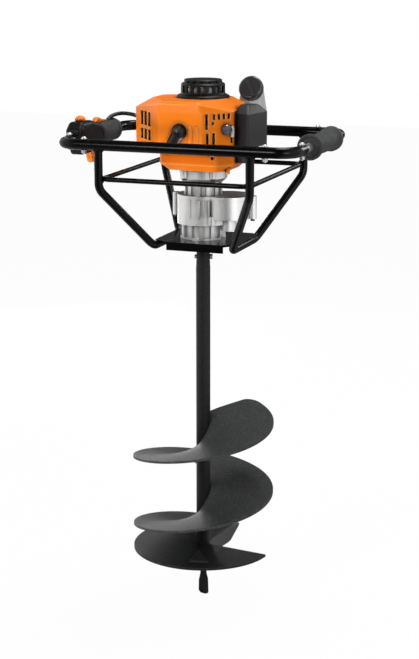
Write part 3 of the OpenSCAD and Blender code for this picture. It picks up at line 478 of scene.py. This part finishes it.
def flight_tree():
    """A right-hand screw flight: a helicoid of even thickness with a rounded top corner."""
    s = Shaper(
        "screw_flight",
        [("Outer", "Float", 0.15), ("Inner", "Float", 0.015), ("Thickness", "Float", 0.005),
         ("Lead", "Float", LEAD), ("Height", "Float", FLIGHT_Z), ("Top angle", "Float", 47.0),
         ("End angle", "Float", -660.0), ("Corner", "Float", 0.024), ("Corner angle", "Float", 11.0),
         ("Turn", "Float", BIT_TURN), ("Finish", "Material", None)],
    )
    sheet = s.node(
        "MeshGrid",
        None,
        {"Size X": 1.0, "Size Y": 1.0, "Vertices X": FLIGHT_ALONG, "Vertices Y": FLIGHT_ACROSS},
    )
    across = s.node("ShaderNodeSeparateXYZ", None, {0: s.node("InputPosition")}, out="Y")
    along = Wire(s, across.socket.node.outputs["X"])
    top = s.given("Top angle")
    left = s.node("Math", {"operation": "MAXIMUM"}, {0: 0.5 - along, 1: 0.0})
    angle = top - left**FLIGHT_CROWDING * (top - s.given("End angle"))
    into = (angle - top) / s.given("Corner angle") + 1.0
    into = s.node("Math", {"operation": "MAXIMUM"}, {0: into, 1: 0.0})
    dip = s.node("Math", {"operation": "MAXIMUM"}, {0: 1.0 - into * into, 1: 0.0})
    outer = s.given("Outer") - s.given("Corner") * (1.0 - dip**0.5)
    radius = s.given("Inner") + (outer - s.given("Inner")) * (0.5 - across)
    world = (angle + s.given("Turn")) * (math.pi / 180.0)
    spot = s.node(
        "ShaderNodeCombineXYZ",
        None,
        {"X": radius * s.node("Math", {"operation": "COSINE"}, {0: world}),
         "Y": radius * s.node("Math", {"operation": "SINE"}, {0: world}),
         "Z": s.given("Height") - s.given("Thickness") + s.given("Lead") * angle / 360.0},
    )
    under = s.node("SetPosition", None, {"Geometry": sheet, "Position": spot})
    over = s.node(
        "ExtrudeMesh",
        None,
        {"Mesh": under, "Offset": (0.0, 0.0, 1.0), "Offset Scale": s.given("Thickness"), "Individual": False},
    )
    turned = s.node("FlipFaces", None, {"Mesh": under})
    both = s.node("JoinGeometry", None, {0: over})
    s.tree.links.new(turned.socket, both.socket.node.inputs[0])
    return s.close(s.node("MergeByDistance", None, {"Geometry": both, "Distance": 0.000001}))


def round_tree():
    """Copies of a rib round the Y axis, set down at a place."""
    s = Shaper(
        "ribs_round",
        [("Count", "Int", 36), ("Place", "Vector", (0.0, 0.0, 0.0)), ("Finish", "Material", None)],
    )
    spots = s.node("MeshLine", None, {"Count": s.given("Count"), "Offset": (0.0, 0.0, 0.0)})
    count = s.given("Count")
    index = s.node("InputIndex")
    angle = index * math.tau / count
    turn = s.node("ShaderNodeCombineXYZ", None, {"Y": angle})
    ribs = s.node(
        "InstanceOnPoints", None, {"Points": spots, "Instance": s.given("Geometry"), "Rotation": turn}
    )
    set_down = s.node("Transform", None, {"Geometry": ribs, "Translation": s.given("Place")})
    return s.close(set_down)


def setting_tree():
    """A copy of a pattern on every point, turned to the point's facing."""
    s = Shaper("set_pieces", [("Pattern", "Object", None), ("Finish", "Material", None)])
    facing = s.node("InputNamedAttribute", {"data_type": "FLOAT_VECTOR"}, {"Name": "facing"})
    turn = s.node("FunctionNodeAlignRotationToVector", {"axis": "Z"}, {"Vector": facing})
    pattern = s.node("ObjectInfo", None, {"Object": s.given("Pattern")}, out="Geometry")
    copies = s.node(
        "InstanceOnPoints", None, {"Points": s.given("Geometry"), "Instance": pattern, "Rotation": turn}
    )
    return s.close(copies)


def shape_through(tree, mesh, name, values):
    """Runs a tree over a mesh and returns the result as a plain object."""
    holder = bpy.data.objects.new(name + "_path", mesh)
    bpy.context.scene.collection.objects.link(holder)
    modifier = holder.modifiers.new("shape", "NODES")
    modifier.node_group = tree
    for item in tree.interface.items_tree:
        if item.in_out == "INPUT" and item.name in values:
            modifier[item.identifier] = values[item.name]
    holder.update_tag()
    graph = bpy.context.evaluated_depsgraph_get()
    solid = bpy.data.meshes.new_from_object(holder.evaluated_get(graph))
    holder.modifiers.remove(modifier)
    bpy.data.objects.remove(holder)
    solid.name = name
    return linked(name, solid)


def linked(name, mesh):
    """A new object of the scene."""
    made = bpy.data.objects.new(name, mesh)
    bpy.context.scene.collection.objects.link(made)
    return made


def path_mesh(name, paths):
    """Open or closed edge paths; a path is (points, closed)."""
    mesh = bpy.data.meshes.new(name)
    points, edges = [], []
    for line, closed in paths:
        first = len(points)
        points.extend(line)
        edges.extend((first + k, first + k + 1) for k in range(len(line) - 1))
        if closed:
            edges.append((first + len(line) - 1, first))
    mesh.from_pydata([tuple(p) for p in points], edges, [])
    return mesh


def plain_mesh(name, made):
    """The mesh of a finished bmesh, which is freed."""
    mesh = bpy.data.meshes.new(name)
    made.to_mesh(mesh)
    made.free()
    return mesh


def tube_mesh(name, points, radius, sides):
    """A capped round tube along points."""
    made = bmesh.new()
    rings = []
    side = None
    for k, p in enumerate(points):
        ahead = (points[min(k + 1, len(points) - 1)] - points[max(k - 1, 0)]).normalized()
        if side is None:
            side = ahead.orthogonal().normalized()
        side = (side - ahead * side.dot(ahead)).normalized()
        up = ahead.cross(side)
        ring = []
        for j in range(sides):
            a = math.tau * j / sides
            ring.append(made.verts.new(p + radius * (math.cos(a) * side + math.sin(a) * up)))
        rings.append(ring)
    for low, high in zip(rings, rings[1:]):
        for j in range(sides):
            made.faces.new((low[j], low[(j + 1) % sides], high[(j + 1) % sides], high[j]))
    made.faces.new(list(reversed(rings[0])))
    made.faces.new(rings[-1])
    for face in made.faces:
        face.smooth = len(face.verts) == 4
    return plain_mesh(name, made)


def filleted(corners, radius, steps):
    """A path of straight runs with round bends."""
    line = [Vector(corners[0])]
    for before, here, after in zip(corners, corners[1:], corners[2:]):
        here = Vector(here)
        to_before = (Vector(before) - here).normalized()
        to_after = (Vector(after) - here).normalized()
        half = to_before.angle(to_after) / 2
        reach = radius / math.tan(half)
        centre = here + (to_before + to_after).normalized() * (radius / math.sin(half))
        start = here + to_before * reach - centre
        end = here + to_after * reach - centre
        whole = start.angle(end)
        for k in range(steps + 1):
            t = k / steps
            spin = (math.sin((1 - t) * whole) * start + math.sin(t * whole) * end) / math.sin(whole)
            line.append(centre + spin)
    line.append(Vector(corners[-1]))
    return line


def length_of(line):
    """The length of a path of points."""
    return sum((b - a).length for a, b in zip(line, line[1:]))


# Finishes


FINISHES = {}
# Pale orange of the painted highlights along the shroud's edges
SHELL_EDGE_HIGHLIGHT = (1.0, 0.43, 0.12)
# Height below which the gear case cover's level faces get painted shade
COVER_LEDGE_Z = 0.8821

DRESSED = {
    "frame_gloss": "rail_front rail_rear elbows_left elbows_right hoop_left hoop_right brace_ring base_plate",
    "bit_texture": "flight",
    "plate_texture": "bottom_plate",
    "tube_texture": "bit_tube pilot",
    "orange_shell": "shroud trigger lockout stop_button",
    "black_moulding": "control_housing starter_cover starter_grip",
    "cap_moulding": "fuel_cap",
    "filter_moulding": "filter_box",
    "grip_rubber": "grip_left grip_right",
    "boot_rubber": "plug_boot cable_hose",
    "cast_alloy": "pedestal gear_case clutch_bell crankcase cylinder carburettor flywheel",
    "cast_dull": "case_cover",
    "zinc_steel": "frame_bolts frame_nuts cross_pin spark_plug crankshaft bearings",
    "bar_steel": "bar_left bar_right",
    "dark_steel": (
        "case_screws bell_screws plate_screws muffler clutch_shoes clutch_drum layshaft output_wheel spindle"
    ),
    "cutter_steel": "cutter centre_blade",
    "tank_plastic": "fuel_tank choke_lever",
    "primer_bulb": "primer",
}


class AUGER_OT_finishes(bpy.types.Operator):
    """Makes the finishes and puts them on the solids"""

    bl_idname = "auger.finishes"
    bl_label = "Finishes"

    def execute(self, context):
        c = context.scene.auger_colours
        FINISHES.update(
            frame_gloss=gloss_coat("frame_gloss", c.frame_coat),
            # Painted light and shade: one bit coat in three strengths, lightest on the flight, darker on the
            # tube and darkest on the bottom plate in the flight's shade
            bit_texture=textured_coat("bit_texture", scaled(c.bit_coat, 1.3), mottle=0.7, gloss=0.08),
            plate_texture=textured_coat("plate_texture", scaled(c.bit_coat, 0.42), mottle=0.7, gloss=0.1),
            tube_texture=textured_coat("tube_texture", scaled(c.bit_coat, 0.22), mottle=0.8, gloss=0.2),
            # Painted highlights along the shell's edges and painted shade in its slots and round the boot
            orange_shell=moulded(
                "orange_shell", c.shell, 0.34, SHELL_EDGE_HIGHLIGHT,
                bend=0.0048, gloss=0.2, grain=1500.0, depth=0.08, reach=0.045, hollow_shade_reach=0.014,
            ),
            # Painted highlights: the black mouldings' edges are lightened towards a paler black
            black_moulding=moulded("black_moulding", c.moulding, 0.34, scaled(c.moulding, 3.0), gloss=0.16),
            # Painted reflection: the cap is lightened eightfold for the sheen on its face
            cap_moulding=moulded(
                "cap_moulding", scaled(c.moulding, 8.0), 0.22, scaled(c.moulding, 16.0),
                bend=0.002, gloss=0.6,
            ),
            filter_moulding=moulded(
                "filter_moulding", scaled(c.moulding, 6.0), 0.42, scaled(c.moulding, 12.0), bend=0.002
            ),
            grip_rubber=soft_rubber("grip_rubber", c.rubber),
            boot_rubber=soft_rubber("boot_rubber", scaled(c.rubber, 0.25), pitch=1400.0, rough=0.26),
            cast_alloy=cast_metal("cast_alloy", c.alloy),
            cast_dull=cast_metal("cast_dull", c.alloy, COVER_LEDGE_Z),
            zinc_steel=drawn_metal("zinc_steel", (0.52, 0.53, 0.54), 0.28, (900.0, 900.0, 30.0)),
            bar_steel=drawn_metal("bar_steel", (0.78, 0.78, 0.77), 0.22, (900.0, 6.0, 900.0)),
            dark_steel=drawn_metal("dark_steel", (0.07, 0.07, 0.073), 0.30, (900.0, 900.0, 30.0)),
            cutter_steel=drawn_metal("cutter_steel", (0.09, 0.09, 0.09), 0.42, (60.0, 700.0, 700.0)),
            tank_plastic=clouded_plastic("tank_plastic", c.tank),
            primer_bulb=smoky_bulb("primer_bulb", (0.06, 0.06, 0.075)),
        )
        for finish, members in DRESSED.items():
            for name in members.split():
                mesh = nodes[name].data
                mesh.materials.clear()
                mesh.materials.append(FINISHES[finish])
        return {"FINISHED"}


# Pieces


HOSE_BEND = 0.034
HOSE_BEND_STEPS = 8
HOSE_SIDES = 20
HOSE_CORNERS = [
    (-0.240, 0.048, 1.010),
    (-0.238, 0.092, 1.031),
    (-0.186, 0.106, 1.026),
    (-0.138, 0.0136, 1.0118),
]


class AUGER_OT_hose(bpy.types.Operator):
    """Makes the cable hose from the grip to the shroud"""

    bl_idname = "auger.hose"
    bl_label = "Cable hose"

    def execute(self, context):
        radius = context.scene.auger_sizes.hose_diameter / 2
        line = filleted(HOSE_CORNERS, HOSE_BEND, HOSE_BEND_STEPS)
        hose = linked("hose", tube_mesh("hose", line, radius, HOSE_SIDES))
        hose.data.materials.append(FINISHES["boot_rubber"])
        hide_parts("cable_hose")
        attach(hose, "frame")
        length_of(line)
        return {"FINISHED"}


ROPE_IN = Vector((-0.015, 0.033, 1.095))
ROPE_OUT = Vector((-0.015, 0.060, 1.095))
ROPE_STEPS = 24
ROPE_SIDES = 10


class AUGER_OT_rope(bpy.types.Operator):
    """Makes the starter rope"""

    bl_idname = "auger.rope"
    bl_label = "Starter rope"

    def execute(self, context):
        radius = context.scene.auger_sizes.rope_diameter / 2
        line = [ROPE_IN.lerp(ROPE_OUT, k / ROPE_STEPS) for k in range(ROPE_STEPS + 1)]
        rope = linked("starter_rope", tube_mesh("starter_rope", line, radius, ROPE_SIDES))
        rope.data.materials.append(FINISHES["boot_rubber"])
        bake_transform(rope)
        return {"FINISHED"}


def beads(context, name, paths, finish):
    """Weld beads along edge paths."""
    sizes = context.scene.auger_sizes
    return shape_through(
        bead_tree(), path_mesh(name + "_paths", paths), name,
        {"Radius": sizes.weld_radius, "Step": sizes.weld_step, "Seed": sizes.seed,
         "Finish": FINISHES[finish]},
    )


# Weld seams: ring round a leg under the rail, arcs at the brace ring, runs along the base plate's edges
LEG_SEAM_R = 0.0089
LEG_SEAM_POINTS = 48
RAIL_SEAM_R = 0.0111
SEAM_SINK = 0.0004
BRACE_SEAM_R = 0.0087
BRACE_SEAM_LIFTS = (-0.0052, 0.0052)
BRACE_SEAM_TURNS = tuple(5.0 * k - 35.0 for k in range(15))
PLATE_SEAM_HALF_X = 0.0903
PLATE_SEAM_YS = tuple(0.001 * k - 0.048 for k in range(112))
PLATE_SEAM_Z = 0.7872


def leg_seam(x, y):
    """The line on which a leg meets the underside of its rail."""
    seam = []
    for k in range(LEG_SEAM_POINTS):
        a = math.tau * k / LEG_SEAM_POINTS
        px = x + LEG_SEAM_R * math.cos(a)
        py = y + LEG_SEAM_R * math.sin(a)
        dip = math.sqrt(max(0.0, RAIL_SEAM_R**2 - (py - y) ** 2))
        seam.append(Vector((px, py, RAIL_Z - dip - SEAM_SINK)))
    return seam


def brace_seam(x, y, z, inward):
    """An arc on a leg's inner side, above or below the brace ring."""
    turns = [inward + math.radians(turn) for turn in BRACE_SEAM_TURNS]
    return [Vector((x + BRACE_SEAM_R * math.cos(a), y + BRACE_SEAM_R * math.sin(a), z)) for a in turns]


class AUGER_OT_frame_welds(bpy.types.Operator):
    """Makes the weld beads of the carrying frame"""

    bl_idname = "auger.frame_welds"
    bl_label = "Frame welds"

    def execute(self, context):
        paths = []
        for side in (-1, 1):
            x = FRAME_X + side * LEG_HALF_X
            for y, outward in RAILS:
                paths.append((leg_seam(x, y), True))
                for lift in BRACE_SEAM_LIFTS:
                    paths.append((brace_seam(x, y, BRACE_Z + lift, math.atan2(-outward, -side)), False))
            edge = FRAME_X + side * PLATE_SEAM_HALF_X
            paths.append(([Vector((edge, y, PLATE_SEAM_Z)) for y in PLATE_SEAM_YS], False))
        welds = beads(context, "frame_welds", paths, "frame_gloss")
        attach(welds, "frame")
        return {"FINISHED"}


class AUGER_OT_flight(bpy.types.Operator):
    """Makes the screw flight of the bit as a smooth helicoid"""

    bl_idname = "auger.flight"
    bl_label = "Screw flight"

    def execute(self, context):
        start = bpy.data.meshes.new("flight_start")
        flight = shape_through(flight_tree(), start, "screw_flight", {"Finish": FINISHES["bit_texture"]})
        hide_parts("flight")
        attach(flight, "auger")
        return {"FINISHED"}


def ring_solid(name, rings, sides=24):
    """A closed solid of rings round Z; a ring is (shape, radius, height), round or six-sided."""
    made = bmesh.new()
    loops = []
    for shape, radius, height in rings:
        loop = []
        for k in range(sides):
            a = math.tau * k / sides
            r = radius if shape == "round" else radius / math.cos((a % (math.pi / 3)) - math.pi / 6)
            loop.append(made.verts.new((r * math.cos(a), r * math.sin(a), height)))
        loops.append(loop)
    for low, high in zip(loops, loops[1:]):
        for k in range(sides):
            made.faces.new((low[k], low[(k + 1) % sides], high[(k + 1) % sides], high[k]))
    made.faces.new(list(reversed(loops[0])))
    made.faces.new(loops[-1])
    return plain_mesh(name, made)


def softened(name, node, voxel, rounds, bore):
    """A copy of a solid with its edges and facets rounded off and one bore cut clear again."""
    copy = nodes[node].data.copy()
    made = bmesh.new()
    made.from_mesh(copy)
    bmesh.ops.remove_doubles(made, verts=made.verts, dist=0.00001)
    made.to_mesh(copy)
    made.free()
    piece = linked(name, copy)
    for kind, settings in (
        ("REMESH", {"mode": "VOXEL", "voxel_size": voxel, "use_smooth_shade": True}),
        ("SMOOTH", {"factor": 0.5, "iterations": rounds}),
        ("BOOLEAN", {"operation": "DIFFERENCE", "solver": "EXACT", "object": bore}),
    ):
        step = piece.modifiers.new(kind.lower(), kind)
        for key, value in settings.items():
            setattr(step, key, value)
    graph = bpy.context.evaluated_depsgraph_get()
    smooth = bpy.data.meshes.new_from_object(piece.evaluated_get(graph))
    piece.modifiers.clear()
    piece.data = smooth
    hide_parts(node)
    return piece


HOUSING_VOXEL = 0.0011
HOUSING_ROUNDS = 6
BUTTON_PLACE = (-0.240, -0.076, RAIL_Z)
BUTTON_SIDES = 48
BUTTON_BORE = (
    ("round", 0.0096, 0.0216), ("round", 0.0096, 0.0296), ("round", 0.0118, 0.0296), ("round", 0.0118, 0.060),
)


class AUGER_OT_housing(bpy.types.Operator):
    """Makes the soft-edged housing of the controls"""

    bl_idname = "auger.housing"
    bl_label = "Control housing"

    def execute(self, context):
        bore = linked("button_bore", ring_solid("button_bore", BUTTON_BORE, BUTTON_SIDES))
        bore.location = BUTTON_PLACE
        housing = softened("housing", "control_housing", HOUSING_VOXEL, HOUSING_ROUNDS, bore)
        bpy.data.objects.remove(bore)
        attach(housing, "frame")
        return {"FINISHED"}


def landed(node, start, heading):
    """The point where a straight line from start meets a solid."""
    mesh = nodes[node].data
    faces = [tuple(face.vertices) for face in mesh.polygons]
    tree = BVHTree.FromPolygons([point.co for point in mesh.vertices], faces)
    place, facing, _, _ = tree.ray_cast(Vector(start), Vector(heading).normalized())
    if place is None:
        raise RuntimeError("no surface of " + node + " ahead of " + str(tuple(start)))
    return place, facing


def set_on(name, rings, landings, finish):
    """Copies of a ring solid on points of a surface, each turned to its facing."""
    pattern = linked(name + "_pattern", ring_solid(name + "_pattern", rings))
    spots = path_mesh(name, [([place for place, _ in landings], False)])
    facing = spots.attributes.new("facing", "FLOAT_VECTOR", "POINT")
    for k, (_, way) in enumerate(landings):
        facing.data[k].vector = way
    made = shape_through(setting_tree(), spots, name, {"Pattern": pattern, "Finish": FINISHES[finish]})
    bpy.data.objects.remove(pattern)
    return made


# Start outside the shroud and heading towards it
SHROUD_SCREWS = (
    ((0.100, -0.200, 0.9675), (-0.42, 1.0, 0.0)),
)
# Rings of the head and its socket, in shares of the head's radius
SCREW_RINGS = (
    ("round", 1.0, -0.4), ("round", 1.0, 0.28), ("round", 0.9, 0.46),
    ("round", 0.7, 0.52), ("six", 0.50, 0.52), ("six", 0.48, 0.10),
)


class AUGER_OT_screws(bpy.types.Operator):
    """Makes the socket screw on the shroud's right front face"""

    bl_idname = "auger.screws"
    bl_label = "Screws"

    def execute(self, context):
        r = context.scene.auger_sizes.screw_head / 2
        rings = [(shape, wide * r, high * r) for shape, wide, high in SCREW_RINGS]
        landings = [landed("shroud", *place) for place in SHROUD_SCREWS]
        screws = set_on("shroud_screws", rings, landings, "dark_steel")
        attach(screws, "frame")
        return {"FINISHED"}


# Degrees from the front, round the drive axis
CASE_RIB_TURNS = (11.0, 20.0, 31.0)
CASE_RIB_FOOT = 0.8395
CASE_RIB_TOP = 0.8738
OUTSIDE_CASE = 0.2


class AUGER_OT_case_ribs(bpy.types.Operator):
    """Makes the upright casting ribs on the front of the gear case"""

    bl_idname = "auger.case_ribs"
    bl_label = "Case ribs"

    def execute(self, context):
        r = context.scene.auger_sizes.case_rib / 2
        tall = CASE_RIB_TOP - CASE_RIB_FOOT
        rings = [
            ("round", 0.5 * r, 0.0), ("round", r, r), ("round", r, tall - 0.2 * r), ("round", 0.8 * r, tall),
        ]
        landings = []
        for turn in CASE_RIB_TURNS:
            out = Vector((math.sin(math.radians(turn)), -math.cos(math.radians(turn)), 0.0))
            wall, _ = landed("gear_case", OUTSIDE_CASE * out + CASE_RIB_FOOT * UPRIGHT, -out)
            landings.append((wall, UPRIGHT))
        ribs = set_on("case_ribs", rings, landings, "cast_alloy")
        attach(ribs, "frame")
        return {"FINISHED"}


LUG_PLACE = Vector((0.0700, -0.0480, 0.9310))
LUG_RINGS = (
    ("round", 0.0036, 0.0), ("round", 0.0047, 0.001), ("round", 0.0047, 0.013), ("round", 0.0028, 0.0165),
)


class AUGER_OT_lug(bpy.types.Operator):
    """Makes the small screw lug under the shroud's right edge"""

    bl_idname = "auger.lug"
    bl_label = "Shroud lug"

    def execute(self, context):
        lug = set_on("shroud_lug", LUG_RINGS, [(LUG_PLACE, UPRIGHT)], "orange_shell")
        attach(lug, "frame")
        return {"FINISHED"}


FLUTE_XS = (0.0165, 0.0295)
FLUTE_FACE_Y = -0.1196
FLUTE_Z = 1.0145
FLUTE_HALF_WIDTH = 0.0052
FLUTE_HEIGHT = 0.0017
FLUTE_HALF_LENGTH = 0.0185
FLUTE_STEPS = 32


def signed_power(value, power, sign):
    """A power of the value's size, with a sign of its own."""
    return math.copysign(abs(value) ** power, sign)


class AUGER_OT_flutes(bpy.types.Operator):
    """Makes the shallow flutes moulded on the shroud's front"""

    bl_idname = "auger.flutes"
    bl_label = "Shroud flutes"

    def execute(self, context):
        made = bmesh.new()
        for x in FLUTE_XS:
            rows = []
            for i in range(FLUTE_STEPS):
                u = math.tau * i / FLUTE_STEPS
                row = []
                for j in range(FLUTE_STEPS + 1):
                    v = -math.pi / 2 + math.pi * j / FLUTE_STEPS
                    full = max(0.0, math.cos(v))
                    wide = signed_power(math.sin(u), 0.7, math.sin(u)) * full**0.5
                    tall = signed_power(math.sin(v), 0.6, v)
                    high = math.cos(u) * full**0.4
                    row.append(made.verts.new((
                        x + FLUTE_HALF_WIDTH * wide,
                        FLUTE_FACE_Y - FLUTE_HEIGHT * high,
                        FLUTE_Z + FLUTE_HALF_LENGTH * tall,
                    )))
                rows.append(row)
            for low, high in zip(rows, rows[1:] + rows[:1]):
                for j in range(FLUTE_STEPS):
                    made.faces.new((low[j], high[j], high[j + 1], low[j + 1]))
        bmesh.ops.remove_doubles(made, verts=made.verts, dist=0.00002)
        bmesh.ops.recalc_face_normals(made, faces=made.faces)
        for face in made.faces:
            face.smooth = True
        flutes = linked("shroud_flutes", plain_mesh("shroud_flutes", made))
        flutes.data.materials.append(FINISHES["orange_shell"])
        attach(flutes, "frame")
        return {"FINISHED"}


# Right grip: (along, radius) of its outline under the ribs
GRIP_OUTLINE = (
    (-0.060, 0.0179), (-0.058, 0.0180), (-0.020, 0.0200), (0.020, 0.0205), (0.046, 0.0195), (0.050, 0.0203),
)
RIB_HALF_WIDTH = 0.0009
RIB_ROOT = 0.0006


class AUGER_OT_grip_ribs(bpy.types.Operator):
    """Makes the fine ribs along the rubber of the right grip"""

    bl_idname = "auger.grip_ribs"
    bl_label = "Grip ribs"

    def execute(self, context):
        sizes = context.scene.auger_sizes
        wide = RIB_HALF_WIDTH
        made = bmesh.new()
        rows = []
        for k, (y, r) in enumerate(GRIP_OUTLINE):
            lift = 0.0 if k in (0, len(GRIP_OUTLINE) - 1) else sizes.rib_height
            rows.append([made.verts.new(p) for p in (
                (-wide, y, r - RIB_ROOT), (-0.6 * wide, y, r + 0.8 * lift), (0.0, y, r + lift),
                (0.6 * wide, y, r + 0.8 * lift), (wide, y, r - RIB_ROOT),
            )])
        for low, high in zip(rows, rows[1:]):
            for k in range(len(low)):
                after = (k + 1) % len(low)
                made.faces.new((low[k], low[after], high[after], high[k]))
        made.faces.new(rows[0])
        made.faces.new(rows[-1])
        bmesh.ops.recalc_face_normals(made, faces=made.faces)
        ribs = shape_through(
            round_tree(), plain_mesh("grip_rib", made), "grip_ribs",
            {"Count": sizes.rib_count, "Place": (RIGHT_X, GRIP_Y, RAIL_Z), "Finish": FINISHES["grip_rubber"]},
        )
        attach(ribs, "frame")
        return {"FINISHED"}


# Welds of the flight: radius, first and last angle on the helix, heights above and below the plate
FLIGHT_SEAM_R = 0.0158
FLIGHT_SEAM_TOP = 44.0
FLIGHT_SEAM_END = -655.0
FLIGHT_SEAM_POINTS = 300
FLIGHT_SEAM_LIFTS = (0.0006, -0.0056)


class AUGER_OT_bit_welds(bpy.types.Operator):
    """Makes the weld beads between the bit tube and its flight"""

    bl_idname = "auger.bit_welds"
    bl_label = "Bit welds"

    def execute(self, context):
        paths = []
        for lift in FLIGHT_SEAM_LIFTS:
            seam = []
            for k in range(FLIGHT_SEAM_POINTS):
                a = FLIGHT_SEAM_TOP - k * (FLIGHT_SEAM_TOP - FLIGHT_SEAM_END) / (FLIGHT_SEAM_POINTS - 1)
                world = math.radians(a + BIT_TURN)
                z = FLIGHT_Z + LEAD * a / 360 + lift
                seam.append(Vector((FLIGHT_SEAM_R * math.cos(world), FLIGHT_SEAM_R * math.sin(world), z)))
            paths.append((seam, False))
        welds = beads(context, "bit_welds", paths, "bit_texture")
        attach(welds, "auger")
        return {"FINISHED"}


# Stage


WHITE = (1.0, 1.0, 1.0)
FLOOR_HALF = 9.0
FLOOR_Z = -0.0005
FLOOR_PAINT = (0.86, 0.86, 0.86)
FLOOR_SEEN = 0.968
FLOOR_DIM = (0.12, 0.12, 0.12)

# Share of a direction's square along X at which the side panels begin and are full
PANEL_RANGE = (0.12, 0.6)

# Strength of the surround: as light, behind the object, and mirrored away from and on the panels
SURROUND_LIGHT = 0.24
SURROUND_SEEN = 1.0
MIRRORED_DIM = 0.1
MIRRORED_BRIGHT = 1.25

# Name, place, side in metres and power in watts; the low lamp is not mirrored
LAMPS = (
    ("key", (-0.9, -3.1, 1.9), 0.8, 39.0),
    ("rim", (-1.7, 2.4, 0.72), 1.0, 20.0),
    ("fill", (2.3, -2.2, 1.3), 1.2, 22.0),
    ("top", (0.2, 0.6, 3.2), 0.9, 46.0),
    ("back", (1.3, 2.6, 1.9), 1.0, 20.0),
    ("low", (-1.5, -1.9, 0.3), 0.6, 24.0),
)
LAMP_TARGET = Vector((0.0, 0.0, 0.62))

# Camera at the photograph's viewing angle; focal length and picture height in pixels
CAMERA_PLACE = (1.15374, -3.15389, 1.39612)
CAMERA_DOWN = 13.456
CAMERA_TURN = 19.868
FOCAL_PIXELS = 1641.7
PICTURE_HEIGHT = 659
SENSOR = 36.0


class AUGER_OT_stage(bpy.types.Operator):
    """Makes the floor, the lamps, the white surround and the camera"""

    bl_idname = "auger.stage"
    bl_label = "Stage"

    def panels(self, graph, way):
        """One towards the bright panels on the two sides of the studio, nought in front and behind."""
        return graph.ramp(graph.node("SeparateXYZ", None, {0: way}, out="X") ** 2, *PANEL_RANGE)

    def rays(self, graph):
        """One on camera rays, on mirrored rays and on rays seen through a piece."""
        camera = graph.node("LightPath", out="Is Camera Ray")
        kinds = camera.socket.node.outputs
        return camera, Wire(graph, kinds["Is Glossy Ray"]), Wire(graph, kinds["Is Transmission Ray"])

    def floor(self):
        mesh = bpy.data.meshes.new("floor")
        corners = ((-1, -1), (1, -1), (1, 1), (-1, 1))
        mesh.from_pydata([(FLOOR_HALF * x, FLOOR_HALF * y, FLOOR_Z) for x, y in corners], [], [(0, 1, 2, 3)])
        f = Finish("floor_white")
        camera, glossy, through = self.rays(f)
        way = f.node("VectorMath", {"operation": "NORMALIZE"}, {0: f.place})
        tone = f.between(glossy, WHITE, f.between(self.panels(f, way), FLOOR_DIM, WHITE))
        seen = f.ramp(camera * FLOOR_SEEN + glossy + through, 0.0, 1.0)
        plain = f.node("BsdfDiffuse", None, {"Color": FLOOR_PAINT})
        white = f.node("Emission", None, {"Color": tone, "Strength": 1.0})
        f.surface(f.node("MixShader", None, {0: seen, 1: plain, 2: white}))
        mesh.materials.append(f.material)
        linked("floor", mesh)

    def surround(self, scene):
        scene.world = bpy.data.worlds.new("surround")
        scene.world.use_nodes = True
        w = Graph(scene.world.node_tree, "ShaderNode")
        w.tree.nodes.clear()
        camera, glossy, through = self.rays(w)
        panels = self.panels(w, w.node("TexCoord", out="Generated"))
        light, back, dim, bright = (
            w.node("Background", None, {"Color": WHITE, "Strength": strength})
            for strength in (SURROUND_LIGHT, SURROUND_SEEN, MIRRORED_DIM, MIRRORED_BRIGHT)
        )
        studio = w.node("MixShader", None, {0: panels, 1: dim, 2: bright})
        mirrored = w.node("MixShader", None, {0: glossy, 1: light, 2: studio})
        both = w.node("MixShader", None, {0: camera + through, 1: mirrored, 2: back})
        out = w.tree.nodes.new("ShaderNodeOutputWorld")
        w.tree.links.new(both.socket, out.inputs["Surface"])

    def lamps(self):
        for name, place, side, power in LAMPS:
            lamp = bpy.data.lights.new(name, "AREA")
            lamp.energy = power
            lamp.size = side
            lamp_object = linked(name, lamp)
            lamp_object.location = place
            lamp_object.visible_glossy = name != "low"
            lamp_object.rotation_euler = (LAMP_TARGET - Vector(place)).to_track_quat("-Z", "Y").to_euler()

    def camera(self, scene):
        lens = bpy.data.cameras.new("camera")
        lens.sensor_width = SENSOR
        lens.lens = FOCAL_PIXELS / PICTURE_HEIGHT * SENSOR
        lens.clip_end = 60.0
        eye = linked("camera", lens)
        eye.location = CAMERA_PLACE
        eye.rotation_euler = (math.radians(90.0 - CAMERA_DOWN), 0.0, math.radians(CAMERA_TURN))
        scene.camera = eye

    def execute(self, context):
        scene = context.scene
        scene.view_settings.view_transform = "Standard"
        self.floor()
        self.surround(scene)
        self.lamps()
        self.camera(scene)
        return {"FINISHED"}


class AUGER_PT_panel(bpy.types.Panel):
    """Sizes, colours and pieces of the auger."""

    bl_label = "Earth auger"
    bl_idname = "AUGER_PT_panel"
    bl_space_type = "VIEW_3D"
    bl_region_type = "UI"
    bl_category = "Auger"

    def draw(self, context):
        for group in (context.scene.auger_sizes, context.scene.auger_colours):
            for name in group.__annotations__:
                self.layout.prop(group, name)
        for piece in PIECES:
            self.layout.operator(piece.bl_idname)


PIECES = (
    AUGER_OT_stage,
    AUGER_OT_finishes,
    AUGER_OT_hose,
    AUGER_OT_rope,
    AUGER_OT_flight,
    AUGER_OT_housing,
    AUGER_OT_screws,
    AUGER_OT_flutes,
    AUGER_OT_case_ribs,
    AUGER_OT_lug,
    AUGER_OT_grip_ribs,
    AUGER_OT_frame_welds,
    AUGER_OT_bit_welds,
)
GROUPS = (AugerSizes, AugerColours)


def register():
    for kind in GROUPS + PIECES + (AUGER_PT_panel,):
        bpy.utils.register_class(kind)
    bpy.types.Scene.auger_sizes = PointerProperty(type=AugerSizes)
    bpy.types.Scene.auger_colours = PointerProperty(type=AugerColours)


def unregister():
    del bpy.types.Scene.auger_colours
    del bpy.types.Scene.auger_sizes
    for kind in reversed(GROUPS + PIECES + (AUGER_PT_panel,)):
        bpy.utils.unregister_class(kind)


def main():
    register()
    for piece in PIECES:
        group, name = piece.bl_idname.split(".")
        getattr(getattr(bpy.ops, group), name)()


if __name__ == "__main__":
    main()
